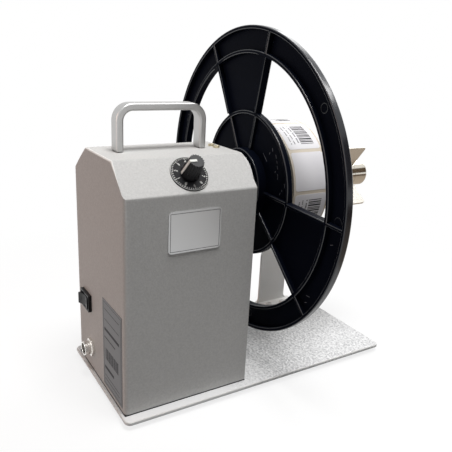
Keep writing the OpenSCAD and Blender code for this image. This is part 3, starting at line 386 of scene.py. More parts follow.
@dataclass(frozen=True)
class Easing:
    """A rounding of edges.

    Attributes:
        width: How far the rounding reaches from the edge.
        steps: Number of faces across it.
        angle: Least angle between the faces of an edge that is rounded.
        only: Test that an edge has to pass, if any.
    """

    width: float
    steps: int = 2
    angle: float = 35.0
    only: Optional[EdgeTest] = None

    def apply(self, bm: Mesh) -> list[Face]:
        """Rounds the edges that have room for it.

        Args:
            bm: The mesh, in millimetres.

        Returns:
            The new faces.
        """
        least = math.radians(self.angle)
        chosen = {e for e in bm.edges if e.is_manifold and e.calc_face_angle(0.0) > least}
        chosen = {e for e in chosen if self.only is None or self.only(e)}
        chosen = {e for e in chosen if not self.is_stub(e, chosen)}
        roomy = [e for e in bm.edges if e in chosen and self.has_room(e, chosen)]
        made = bmesh.ops.bevel(bm, geom=roomy, offset=self.width, offset_type="OFFSET", segments=self.steps,
                               profile=0.5, affect="EDGES", clamp_overlap=False, material=-1)
        return made["faces"]

    def is_stub(self, edge: Edge, chosen: set[Edge]) -> bool:
        """Tells whether an edge is too short for the roundings that cross its ends.

        Args:
            edge: The edge.
            chosen: The edges that are to be rounded.

        Returns:
            True if it is.
        """
        if edge.calc_length() >= ROOM_BOTH * self.width:
            return False
        for vert in edge.verts:
            ahead = edge.other_vert(vert).co - vert.co
            others = [o for o in vert.link_edges if o in chosen and o is not edge]
            if any(ahead.angle(o.other_vert(vert).co - vert.co) < STRAIGHT_ON for o in others):
                return True
        return False

    def has_room(self, edge: Edge, chosen: set[Edge]) -> bool:
        """Tells whether the edges that meet an edge and stay sharp are long enough for its rounding.

        Args:
            edge: The edge.
            chosen: The edges that are to be rounded.

        Returns:
            True if they are.
        """
        for vert in edge.verts:
            for other in set(vert.link_edges) - chosen:
                ends = 2 if chosen.intersection(other.other_vert(vert).link_edges) else 1
                if other.calc_length() < ROOM * self.width * ends:
                    return False
        return True


def span(node: str) -> tuple[Vector, Vector]:
    """Returns the lowest and highest corner of a solid, in millimetres."""
    low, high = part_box(node)
    return low / MM, high / MM


def axes(origin: Point, x_axis: Point, y_axis: Point) -> Matrix:
    """Returns the matrix of a right-handed local frame."""
    x, y = Vector(x_axis).normalized(), Vector(y_axis).normalized()
    return Matrix.Translation(Vector(origin)) @ Matrix((x, y, x.cross(y))).transposed().to_4x4()


def put(name: str, data: bpy.types.ID) -> bpy.types.Object:
    """Adds an object to the scene.

    Args:
        name: Its name.
        data: Its mesh, lamp, camera or text.

    Returns:
        The new object.
    """
    made = bpy.data.objects.new(name, data)
    bpy.context.scene.collection.objects.link(made)
    return made


def store(name: str, bm: Mesh) -> bpy.types.Mesh:
    """Stores an edited mesh.

    Args:
        name: The stored mesh's name.
        bm: The edited mesh, which is freed.

    Returns:
        The stored mesh.
    """
    mesh = bpy.data.meshes.new(name)
    bm.to_mesh(mesh)
    bm.free()
    return mesh


def add_piece(name: str, bm: Mesh, finish: Finish, home: str, *replaced: str,
              highlight_finish: Optional[Finish] = None) -> None:
    """Hands a mesh over as a piece of the object.

    Args:
        name: The piece's name.
        bm: Its mesh in millimetres, which is freed.
        finish: Its finish.
        home: The solid whose body it shares.
        replaced: Solids that it stands for.
        highlight_finish: Finish of the faces marked 1, if any: a paler or glossier copy that paints
            highlights on them.
    """
    bmesh.ops.scale(bm, vec=(MM, MM, MM), verts=bm.verts)
    for face in bm.faces:
        face.smooth = True
    for edge in bm.edges:
        edge.smooth = edge.is_manifold and edge.calc_face_angle(0.0) < CREASE
    mesh = store(name, bm)
    for each in (finish, highlight_finish) if highlight_finish else (finish,):
        mesh.materials.append(each.material())
    piece = put(name, mesh)
    shading = piece.modifiers.new("even_shading", "WEIGHTED_NORMAL")
    shading.keep_sharp = True
    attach(piece, BODY_OF[home])
    if replaced:
        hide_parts(*replaced)
    LOG.info("%s: %d faces on %s", name, len(mesh.polygons), BODY_OF[home].value)


def ease_node(node: str, finish: Finish, *easings: Easing, highlight_finish: Optional[Finish] = None,
              also: Optional[FaceTest] = None) -> None:
    """Replaces a solid by a copy of its mesh with eased edges and smooth curves.

    Args:
        node: The solid.
        finish: Its finish.
        easings: The roundings, in their order.
        highlight_finish: Finish of the roundings, if it is another: a paler or glossier copy that paints
            their highlight.
        also: Test for further faces that get it.
    """
    bm = bmesh.new()
    bm.from_mesh(frame["nodes"][node].data)
    bmesh.ops.scale(bm, vec=(1 / MM, 1 / MM, 1 / MM), verts=bm.verts)
    bmesh.ops.remove_doubles(bm, verts=bm.verts, dist=MERGE)
    bmesh.ops.dissolve_limit(bm, angle_limit=FLAT, use_dissolve_boundaries=False, verts=bm.verts,
                             edges=bm.edges, delimit=set())
    for face in bm.faces:
        face.material_index = 0
    for easing in easings:
        for face in easing.apply(bm):
            face.material_index = 1 if highlight_finish else 0
    bmesh.ops.dissolve_degenerate(bm, dist=NO_LENGTH, edges=bm.edges)
    for face in bm.faces if also else ():
        if also(face):
            face.material_index = 1
    add_piece(f"{node}.eased", bm, finish, node, node, highlight_finish=highlight_finish)


def paint_nodes(finish: Finish, *nodes: str) -> None:
    """Gives solids that stay as they are their finish.

    Args:
        finish: The finish.
        nodes: The solids.
    """
    for node in nodes:
        data = frame["nodes"][node].data
        for index in range(len(data.materials)):
            data.materials[index] = finish.material()
        if not data.materials:
            data.materials.append(finish.material())
        LOG.info("%s: %s", node, finish.name)


def add_box(bm: Mesh, low: Point, high: Point, where: Matrix = Matrix()) -> None:
    """Adds a box between two corners of a local frame."""
    middle, size = (Vector(low) + Vector(high)) / 2, Vector(high) - Vector(low)
    bmesh.ops.create_cube(bm, size=1.0, matrix=where @ Matrix.LocRotScale(middle, None, size))


def add_turned(bm: Mesh, profile: Sequence[Point], where: Matrix, steps: int = 64) -> None:
    """Turns a closed profile once round a local frame's Z axis.

    Args:
        bm: The mesh that takes the ring.
        profile: Radius and height of each corner.
        where: The local frame.
        steps: Number of faces round the ring.
    """
    corners = [bm.verts.new(where @ Vector((r, 0, z))) for r, z in profile]
    edges = [bm.edges.new((corners[i - 1], corners[i])) for i in range(len(corners))]
    axis = where.to_3x3() @ Vector((0, 0, 1))
    bmesh.ops.spin(bm, geom=corners + edges, cent=where.translation, axis=axis, angle=math.tau, steps=steps,
                   use_merge=True)
    bmesh.ops.recalc_face_normals(bm, faces=bm.faces)


def add_band(bm: Mesh, inner: float, outer: float, height: float, where: Matrix, steps: int = 64) -> None:
    """Adds a flat ring that stands on a local frame's XY plane."""
    add_turned(bm, ((inner, 0), (outer, 0), (outer, height), (inner, height)), where, steps)


def add_numeral(bm: Mesh, text: str, size: float, thickness: float, where: Matrix) -> None:
    """Adds a numeral, centred on a local frame's XY plane.

    Args:
        bm: The mesh that takes it.
        text: The numeral.
        size: Its height.
        thickness: How far it stands out.
        where: The local frame.
    """
    curve = bpy.data.curves.new("numeral", "FONT")
    curve.body, curve.size, curve.align_x, curve.align_y = text, size, "CENTER", "CENTER"
    curve.extrude = thickness / 2
    holder = put("numeral", curve)
    bpy.context.view_layer.update()
    shape = bpy.data.meshes.new_from_object(holder.evaluated_get(bpy.context.evaluated_depsgraph_get()))
    shape.transform(where @ Matrix.Translation((0, 0, thickness / 2)))
    bm.from_mesh(shape)
    bpy.data.objects.remove(holder)
    bpy.data.curves.remove(curve)
    bpy.data.meshes.remove(shape)


@dataclass
class Enclosure:
    """The cabinet, its plates, its screws and its handle.

    Attributes:
        rows: Level, height and share of the width of each stroke on the sticker.
    """

    fold: float = 1.3
    housing_edge: float = 0.5
    bar_edge: float = 1.5
    plate_edge: float = 0.25
    screw_edge: float = 0.3
    long_edge: float = 80.0
    roof_rise: float = 23.0
    sleeve_bore: float = 26.1
    sleeve_taper: float = 3.4
    sleeve_edge: float = 0.6
    gasket_proud: float = 0.15
    gasket_width: float = 1.0
    gasket_foot: float = 0.02
    gasket_top: float = 0.9
    border_inset: float = 1.4
    form_inset: float = 1.8
    row_inset: float = 2.0
    rows: tuple[Triple, ...] = ((6.0, 0.5, 0.95), (9.5, 0.5, 0.95), (16.0, 2.6, 0.6), (44.0, 1.0, 0.7),
                                (50.5, 2.4, 0.95), (60.0, 0.5, 0.95), (69.0, 0.5, 0.95))
    bars: int = 16
    bar_inset: float = 4.0
    bar_pitch: float = 1.8
    bar_foot: float = 25.0
    bar_top: float = 35.0
    thick_bar: float = 1.2
    thin_bar: float = 0.7
    rule: float = 0.35
    ink: float = 0.04

    def build(self) -> None:
        """Makes every piece."""
        folds = Easing(self.fold, steps=4, angle=30.0, only=self.on_outline)
        # The folds take the paler copy of the powder, a painted highlight
        ease_node("cabinet_cover", POWDER, folds, highlight_finish=POWDER_EDGE)
        ease_node("right_end_plate", POWDER)
        self.sleeve()
        ease_node("bearing_housing", POWDER, Easing(self.housing_edge))
        ease_node("carry_handle", SATIN_BAR, Easing(self.bar_edge, steps=4))
        ease_node("name_plate", PLATE, Easing(self.plate_edge))
        ease_node("rating_sticker", FILM)
        ease_node("roof_screws", BRASSY, Easing(self.screw_edge))
        paint_nodes(ZINC, "cabinet_screws", "handle_screws", "housing_screws")
        # A dark strip that paints the shade line under the cover's foot
        self.gasket()
        self.plate_border()
        self.sticker_rules()

    def on_outline(self, edge: Edge) -> bool:
        """Tells whether an edge is a fold, a corner or the foot of the cover.

        Args:
            edge: An edge of the cover.

        Returns:
            True if it is.
        """
        low, high = span("cabinet_cover")
        points = [v.co for v in edge.verts]
        outside = [abs(p.y) > high.y - TOUCH for p in points]
        on_top = [p.z > high.z - TOUCH for p in points]
        if edge.calc_length() > self.long_edge and all(o or t for o, t in zip(outside, on_top)):
            return True
        raised = [p.z > high.z - self.roof_rise for p in points]
        return all(p.x < low.x + TOUCH and (o or r) for p, o, r in zip(points, outside, raised))

    def sleeve(self) -> None:
        """Turns the dust sleeve with a taper towards the reel."""
        low, high = span("nose_sleeve")
        where = axes((low.x, 0, (low.z + high.z) / 2), (0, 0, 1), (0, -1, 0))
        length, wide = high.x - low.x, high.y
        bm = bmesh.new()
        wall = ((wide, 0), (wide - self.sleeve_taper, length))
        add_turned(bm, ((self.sleeve_bore, 0), *wall, (self.sleeve_bore, length)), where, steps=96)
        Easing(self.sleeve_edge, steps=3).apply(bm)
        add_piece("nose_sleeve.turned", bm, PAINT, "nose_sleeve", "nose_sleeve")

    def gasket(self) -> None:
        """Lays a dark rubber strip between the cover's foot and the base, which paints the shade line there.
        """
        low, high = span("cabinet_cover")
        left, right = low.x - self.gasket_proud, high.x + self.gasket_proud
        back = high.y + self.gasket_proud
        inner = back - self.gasket_width
        strips = ((left, -back, right, -inner), (left, inner, right, back),
                  (left, -inner, left + self.gasket_width, inner))
        bm = bmesh.new()
        for x0, y0, x1, y1 in strips:
            add_box(bm, (x0, y0, low.z + self.gasket_foot), (x1, y1, low.z + self.gasket_top))
        add_piece("cabinet_shade_gasket", bm, RUBBER, "rubber_feet")

    def plate_border(self) -> None:
        """Stamps a plain line round the name plate."""
        low, high = span("name_plate")
        where, inset = axes((0, low.y, 0), (1, 0, 0), (0, 0, 1)), self.border_inset
        bm = bmesh.new()
        self.outline(bm, (low.x + inset, low.z + inset), (high.x - inset, high.z - inset), where)
        add_piece("name_plate.border", bm, INK_GREY, "name_plate")

    def sticker_rules(self) -> None:
        """Prints a blank form on the sticker: a frame, rules, plain strokes and a block of bars."""
        low, high = span("rating_sticker")
        where = axes((low.x, 0, low.z), (0, -1, 0), (0, 0, 1))
        left, right = self.form_inset - high.y, -low.y - self.form_inset
        bm = bmesh.new()
        self.outline(bm, (left, self.form_inset), (right, high.z - low.z - self.form_inset), where)
        start, room = left + self.row_inset, right - left - 2 * self.row_inset
        for level, height, share in self.rows:
            add_box(bm, (start, level, -self.ink), (start + share * room, level + height, self.ink), where)
        for k in range(self.bars):
            # Thin bars stand among the thick ones in a fixed pattern
            side = left + self.bar_inset + k * self.bar_pitch
            width = self.thick_bar if k * 5 % 3 else self.thin_bar
            add_box(bm, (side, self.bar_foot, -self.ink), (side + width, self.bar_top, self.ink), where)
        add_piece("rating_sticker.rules", bm, INK_GREY, "rating_sticker")

    def outline(self, bm: Mesh, low: Point, high: Point, where: Matrix) -> None:
        """Adds four printed strokes along a rectangle.

        Args:
            bm: The mesh that takes them.
            low: The rectangle's lowest corner in the local frame.
            high: Its highest corner.
            where: The local frame.
        """
        (x0, y0), (x1, y1), rule = low, high, self.rule
        strokes = ((x0, y0, x1, y0 + rule), (x0, y1 - rule, x1, y1), (x0, y0 + rule, x0 + rule, y1 - rule),
                   (x1 - rule, y0 + rule, x1, y1 - rule))
        for left, foot, right, top in strokes:
            add_box(bm, (left, foot, -self.ink), (right, top, self.ink), where)


@dataclass
class Footing:
    """The base plate, its feet and the guide plate."""

    rim: float = 0.9
    corner: float = 6.0
    edge: float = 0.4

    def build(self) -> None:
        """Makes every piece."""
        # The rounded rim takes the paler copy of the paint, a painted highlight
        ease_node("base_plate", HAMMER, Easing(self.rim, steps=3, only=self.on_rim), highlight_finish=HAMMER_EDGE)
        ease_node("guide_plate", PAINT, Easing(self.edge))
        ease_node("rubber_feet", RUBBER, Easing(self.edge))
        paint_nodes(HAMMER, "foot_screws")
        paint_nodes(PAINT, "guide_screws")

    def on_rim(self, edge: Edge) -> bool:
        """Tells whether an edge is on the plate's outline."""
        low, high = span("base_plate")
        return any(p.x < low.x + self.corner or p.x > high.x - self.corner or abs(p.y) > high.y - self.corner
                   for p in (v.co for v in edge.verts))


@dataclass
class SpeedControl:
    """The dial with its printed scale, and the knob with its pointer line."""

    centre: Triple = (-75.5, -42.479, 189.999)
    slope: float = 42.563
    dial_top: float = 1.0
    dial_edge: float = 0.2
    ink: float = 0.06
    zero_angle: float = 216.0
    digits: int = 10
    digit_ring: float = 10.6
    digit_size: float = 3.4
    ticks: int = 50
    tick_end: float = 14.0
    long_tick: float = 1.4
    short_tick: float = 1.0
    long_half: float = 0.24
    short_half: float = 0.18
    line_inner: float = 14.62
    line_outer: float = 14.84
    knob_edge: float = 0.25
    knob_foot_r: float = 7.5
    knob_top_r: float = 5.75
    knob_foot_z: float = 1.6
    knob_top_z: float = 16.6
    pointer_half: float = 1.0
    pointer_edge: float = 0.12
    pointer_back: float = 0.2
    over_top: tuple[float, float] = (0.3, 0.56)
    out_of_side: tuple[float, float] = (-0.25, 0.4)
    along_side: tuple[float, float] = (0.6, 0.5)

    def frame_on_slope(self) -> Matrix:
        """Returns the dial's local frame: X to the right, Y up the slope, Z out of it."""
        tilt = math.radians(self.slope)
        return axes(self.centre, (1, 0, 0), (0, math.cos(tilt), math.sin(tilt)))

    def build(self) -> None:
        """Makes every piece."""
        where = self.frame_on_slope()
        ease_node("dial_plate", DIAL_BLACK, Easing(self.dial_edge))
        ease_node("speed_knob", KNOB_PLASTIC, Easing(self.knob_edge))
        paint_nodes(ZINC, "potentiometer", "pot_nut")
        paint_nodes(TURNED, "pot_shaft")
        self.scale(where @ Matrix.Translation((0, 0, self.dial_top)))
        self.pointer(where)

    def turned(self, step: int, count: int) -> Matrix:
        """Returns the turn of one of the marks that are spread round the dial."""
        return Matrix.Rotation(-math.radians(self.zero_angle + step * 360 / count), 4, "Z")

    def scale(self, where: Matrix) -> None:
        """Prints the ticks and the numerals on the dial, and a thin line round its edge.

        Args:
            where: The frame of the dial's face.
        """
        bm = bmesh.new()
        for k in range(self.ticks):
            at_digit = k * self.digits % self.ticks == 0
            half = self.long_half if at_digit else self.short_half
            start = self.tick_end - (self.long_tick if at_digit else self.short_tick)
            turn = self.turned(k, self.ticks)
            add_box(bm, (-half, start, -self.ink), (half, self.tick_end, self.ink), where @ turn)
        for k in range(self.digits):
            spot = self.turned(k, self.digits) @ Matrix.Translation((0, self.digit_ring, 0))
            add_numeral(bm, str(k), self.digit_size, self.ink, where @ spot)
        add_piece("dial_scale", bm, INK_WHITE, "dial_plate")
        edge = bmesh.new()
        add_band(edge, self.line_inner, self.line_outer, self.ink, where)
        add_piece("dial_edge", edge, INK_WHITE, "dial_plate")

    def pointer(self, where: Matrix) -> None:
        """Fills the knob's pointer with white, up its side and along its top.

        Args:
            where: The dial's local frame.
        """
        inwards, upwards = self.knob_foot_r - self.knob_top_r, self.knob_top_z - self.knob_foot_z
        half, (low, high), (skin, root) = self.pointer_half, self.over_top, self.out_of_side
        bm = bmesh.new()
        top = where @ Matrix.Translation((-self.pointer_back, 0, self.knob_top_z))
        add_box(bm, (-self.knob_top_r, -half, low), (0, half, high), top)
        lean = Matrix.Rotation(math.atan2(inwards, upwards), 4, "Y")
        side = where @ Matrix.Translation((-self.knob_foot_r, 0, self.knob_foot_z)) @ lean
        first, beyond = self.along_side
        add_box(bm, (skin, -half, first), (root, half, math.hypot(inwards, upwards) + beyond), side)
        Easing(self.pointer_edge).apply(bm)
        add_piece("knob_pointer_line", bm, INK_WHITE, "speed_knob")


@dataclass
class LeftEnd:
    """The rocker switch and the power socket."""

    switch: Triple = (-131.5, 30.0, 69.5)
    tilt: float = 8.0
    crown: float = 2.6
    face_lean: float = 16.7
    switch_edge: float = 0.35
    socket_edge: float = 0.3
    mark_out: float = 4.6
    mark_half: float = 1.7
    ring_inner: float = 1.2
    stroke_half: float = 0.3
    ink: float = 0.05
    ink_foot: float = -0.02

    def build(self) -> None:
        """Makes every piece."""
        for node in ("switch_housing", "switch_rocker"):
            ease_node(node, NYLON, Easing(self.switch_edge))
        for node in ("socket_shell", "socket_nut"):
            ease_node(node, NICKEL_SHELL, Easing(self.socket_edge))
        paint_nodes(MOULDING, "socket_insert")
        self.switch_marks()

    def switch_marks(self) -> None:
        """Prints a stroke and a ring on the rocker's two faces."""
        out = axes(self.switch, (0, -1, 0), (0, 0, 1)) @ Matrix.Rotation(math.radians(self.tilt), 4, "Y")
        crown = out @ Matrix.Translation((0, 0, self.crown))
        half, thin = self.mark_half, self.stroke_half
        bm = bmesh.new()
        for side in (-1, 1):
            lean = Matrix.Rotation(-side * math.radians(self.face_lean), 4, "Y")
            where = crown @ lean @ Matrix.Translation((side * self.mark_out, 0, 0))
            if side < 0:
                add_box(bm, (-thin, -half, self.ink_foot), (thin, half, self.ink), where)
            else:
                add_band(bm, self.ring_inner, half, self.ink, where, steps=32)
        add_piece("rocker_marks", bm, INK_GREY, "switch_rocker")


@dataclass
class Reel:
    """The reel wheel with the marks that its mould and its use left, and pale strokes that are partly
    painted glints.

    Attributes:
        scuffs: Radius, angle, length and lean of each pale stroke.
    """

    web_face: float = 4.0
    edge: float = 0.7
    collar_edge: float = 0.4
    spoke_edge: float = 40.0
    rim_from: float = 128.6
    pins: int = 9
    pin_ring: float = 119.0
    first_pin: float = 21.0
    pin_inner: float = 3.3
    pin_outer: float = 3.7
    pin_height: float = 0.08
    scuffs: tuple[tuple[float, float, float, float], ...] = (
        (50, 135, 2.6, 60), (45, 135, 1.8, 20), (51, 143, 3.2, 75), (50, 148, 2.4, 80), (49, 153, 3.0, 85),
        (45, 156, 1.6, 40), (47.5, 160, 2.2, 95), (47, 163, 1.8, 70), (55.5, 170, 3.4, 100),
        (49.5, 178, 2.8, 60), (52, 174.5, 1.6, 85), (37.5, 133, 8.4, 88), (118, 216, 4.0, 40),
        (120, 219, 3.0, 60), (117, 190, 3.0, 30))
    scuff_half: float = 0.22
    scuff_foot: float = -0.05
    scuff_top: float = 0.03

    def build(self) -> None:
        """Makes every piece."""
        ribs, rest = (Easing(self.edge, steps=3, only=test) for test in (self.on_spoke, self.on_show))
        # The eased edges and the rim's outside take the lit copy of the moulding: painted glints
        ease_node("reel_wheel", ABS, ribs, rest, highlight_finish=ABS_EDGE, also=self.on_rim)
        ease_node("wheel_collar", NICKEL_SHEET, Easing(self.collar_edge))
        paint_nodes(ZINC, "collar_screws")
        self.ejector_marks()
        # Pale strokes: partly scuffs and dust, partly painted glints
        self.rub()

    def on_show(self, edge: Edge) -> bool:
        """Tells whether an edge stands out."""
        return edge.is_convex

    def on_spoke(self, edge: Edge) -> bool:
        """Tells whether an edge runs along a spoke's rib."""
        return edge.is_convex and edge.calc_length() > self.spoke_edge

    def on_rim(self, face: Face) -> bool:
        """Tells whether a face is on the outside of the rim."""
        middle = face.calc_center_median()
        return math.hypot(middle.y, middle.z - AXIS_Z) > self.rim_from

    def at(self, radius: float, angle: float) -> Matrix:
        """Finds a place on the web's near face.

        Args:
            radius: Its distance from the axis.
            angle: Its angle from the back, upwards.

        Returns:
            A frame there: X outwards, Z towards the cabinet.
        """
        turn = math.radians(angle)
        out = Vector((0, math.cos(turn), math.sin(turn)))
        spot = Vector((self.web_face, 0, AXIS_Z)) + radius * out
        return axes(spot, out, out.cross(Vector((1, 0, 0))))

    def ejector_marks(self) -> None:
        """Leaves the faint rings of the mould's ejector pins on the outer ring."""
        bm = bmesh.new()
        for k in range(self.pins):
            where = self.at(self.pin_ring, self.first_pin + k * 360 / self.pins)
            add_band(bm, self.pin_inner, self.pin_outer, self.pin_height, where, steps=32)
        # The pin rings take the lit copy of the moulding: painted glints
        add_piece("reel_pin_marks", bm, ABS_EDGE, "reel_wheel")

    def rub(self) -> None:
        """Lays short pale strokes on the hub and the ring: partly scuffs and dust, partly painted glints on
        moulded lettering.
        """
        bm = bmesh.new()
        for radius, angle, length, lean in self.scuffs:
            where = self.at(radius, angle) @ Matrix.Rotation(math.radians(lean), 4, "Z")
            low = (-length / 2, -self.scuff_half, self.scuff_foot)
            add_box(bm, low, (length / 2, self.scuff_half, self.scuff_top), where)
        add_piece("reel_scuffs_and_glints", bm, SCUFF_AND_GLINT, "reel_wheel")


@dataclass
class Spindle:
    """The spindle with its core fins, and what turns it inside the cabinet."""

    edge: float = 0.3

    def build(self) -> None:
        """Makes every piece."""
        ease_node("spindle", NICKEL, Easing(self.edge))
        ease_node("core_fins", NICKEL_SHEET, Easing(self.edge))
        paint_nodes(GROUND, "front_bearing", "rear_bearing", "retaining_ring", "motor_shaft")
        paint_nodes(TURNED, "shaft_coupling")
        paint_nodes(CAN, "gear_motor")
        paint_nodes(ZINC, "motor_bracket", "motor_screws", "bracket_screws", "coupling_screws")


@dataclass
class ControlBoard:
    """The speed control board inside the cabinet."""

    def build(self) -> None:
        """Gives the board's pieces their finishes."""
        paint_nodes(LAMINATE, "control_board")
        paint_nodes(BRASSY, "board_standoffs")
        paint_nodes(ZINC, "board_screws")
        paint_nodes(SINK, "heat_sink")
        paint_nodes(MOULDING, "board_capacitor", "terminal_block")


@dataclass
class LabelRoll:
    """The roll: a board core, the wound web, its outermost turn and the labels on it.

    Attributes:
        bar_widths: Width of each printed bar.
        dot_rows: Place across the label and height of each dotted rule.
    """

    core_edge: float = 0.2
    bore: float = 41.1
    turn: float = 0.4
    turn_end: float = 295.0
    turn_gap: float = 10.0
    first_gap: float = -48.2
    pitch: float = 37.7
    count: int = 9
    blank: int = 5
    between: float = 3.0
    margin: float = 1.8
    corner: float = 2.5
    strips: int = 24
    label_t: float = 0.16
    sunk: float = 0.02
    print_t: float = 0.03
    print_start: float = 5.0
    bar_from: float = 15.0
    bar_to: float = 28.5
    bar_widths: tuple[float, ...] = (0.7, 1.1, 0.6, 1.4, 0.7, 0.8, 1.3, 0.6, 1.0, 0.7, 1.4, 0.7, 1.1, 0.6)
    bar_gap: float = 0.6
    wide_gap: float = 1.0
    dot_rows: tuple[tuple[float, float], ...] = ((13.5, 1.3), (9.0, 0.9), (5.5, 0.9))
    dots: int = 17
    dot_pitch: float = 1.35
    dot: float = 0.9
    x0: float = field(init=False)
    x1: float = field(init=False)
    radius: float = field(init=False)

    def __post_init__(self) -> None:
        """Takes the roll's size from its solid."""
        low, high = span("label_web")
        self.x0, self.x1, self.radius = low.x, high.x, high.y

    def build(self) -> None:
        """Makes every piece."""
        ease_node("roll_core", BOARD, Easing(self.core_edge))
        self.pack()
        self.outer_turn()
        self.labels()

    def bend(self, bm: Mesh) -> None:
        """Wraps a flat layout round the spindle.

        Args:
            bm: The layout: X stays, Y is the arc at the rim and Z the height.
        """
        for vert in bm.verts:
            x, arc, height = vert.co
            angle, r = arc / self.radius, self.radius + height
            vert.co = (x, r * math.cos(angle), AXIS_Z + r * math.sin(angle))

    def pack(self) -> None:
        """Winds the turns under the outermost one."""
        bm = bmesh.new()
        where = axes((self.x0, 0, AXIS_Z), (0, 1, 0), (0, 0, 1))
        add_band(bm, self.bore, self.radius - self.turn, self.x1 - self.x0, where, steps=180)
        add_piece("label_web.turns", bm, EDGES, "label_web", "label_web")

    def outer_turn(self) -> None:
        """Lays the outermost turn of the liner, with its free end."""
        bm = bmesh.new()
        start = math.radians(self.turn_end + self.turn_gap / 2)
        sweep = math.radians(360 - self.turn_gap)
        r0, r1 = self.radius - self.turn - self.sunk, self.radius - self.label_t
        ends = [Vector((x, r * math.cos(start), AXIS_Z + r * math.sin(start))) for x, r in
                ((self.x0, r0), (self.x1, r0), (self.x1, r1), (self.x0, r1))]
        verts = [bm.verts.new(end) for end in ends]
        face = bm.faces.new(verts)
        bmesh.ops.spin(bm, geom=[face, *verts, *face.edges], cent=(0, 0, AXIS_Z), axis=(1, 0, 0),
                       angle=sweep, steps=175)
        bmesh.ops.recalc_face_normals(bm, faces=bm.faces)
        add_piece("label_web.liner_turn", bm, LINER, "label_web")

    def labels(self) -> None:
        """Sticks the labels on the outermost turn and prints all but one."""
        paper, print_bm = bmesh.new(), bmesh.new()
        degree = math.radians(1) * self.radius
        for k in range(self.count):
            first = (self.first_gap + k * self.pitch) * degree + self.between / 2
            self.one_label(paper, first, self.pitch * degree - self.between)
            if k != self.blank:
                self.print_bars(print_bm, first)
        self.bend(paper)
        self.bend(print_bm)
        add_piece("label_web.labels", paper, LABEL, "label_web")
        add_piece("label_web.print", print_bm, INK_BLACK, "label_web")

    def one_label(self, bm: Mesh, first: float, length: float) -> None:
        """Lays one label flat, with round corners, and cuts it into strips that can bend.

        Args:
            bm: The mesh that takes it.
            first: Where it starts along the web.
            length: Its length along the web.
        """
        one = bmesh.new()
        middle = Vector(((self.x0 + self.x1) / 2, first + length / 2, -self.sunk))
        width = self.x1 - self.x0 - 2 * self.margin
        shape = Matrix.Translation(middle) @ Matrix.Diagonal((width, length, 1.0, 1.0))
        bmesh.ops.create_grid(one, x_segments=1, y_segments=1, size=0.5, matrix=shape)
        bmesh.ops.bevel(one, geom=list(one.verts), offset=self.corner, offset_type="OFFSET", segments=5,
                        profile=0.5, affect="VERTICES", clamp_overlap=True, material=-1)
        for k in range(1, self.strips):
            cut = Vector((0, first + k * length / self.strips, 0))
            whole = [*one.verts, *one.edges, *one.faces]
            bmesh.ops.bisect_plane(one, geom=whole, plane_co=cut, plane_no=(0, 1, 0))
        grown = bmesh.ops.extrude_face_region(one, geom=list(one.faces))
        lifted = [v for v in grown["geom"] if isinstance(v, bmesh.types.BMVert)]
        bmesh.ops.translate(one, verts=lifted, vec=(0, 0, -self.label_t))
        bmesh.ops.recalc_face_normals(one, faces=one.faces)
        held = store("label", one)
        bm.from_mesh(held)
        bpy.data.meshes.remove(held)

    def print_bars(self, bm: Mesh, first: float) -> None:
        """Prints a block of plain bars and three dotted rules.

        Args:
            bm: The mesh that takes them.
            first: Where the label starts along the web.
        """
        inner, low = self.x0 + self.margin, first + self.print_start
        arc = low
        for k, width in enumerate(self.bar_widths):
            add_box(bm, (inner + self.bar_from, arc, -self.print_t), (inner + self.bar_to, arc + width, 0.0))
            arc += width + (self.bar_gap if k % 3 else self.wide_gap)
        for row, size in self.dot_rows:
            for k in range(self.dots):
                # A fixed pattern leaves gaps in the row
                if (k * 7 + int(row)) % 5:
                    side, start = inner + row, low + k * self.dot_pitch
                    add_box(bm, (side - size, start, -self.print_t), (side, start + self.dot, 0.0))


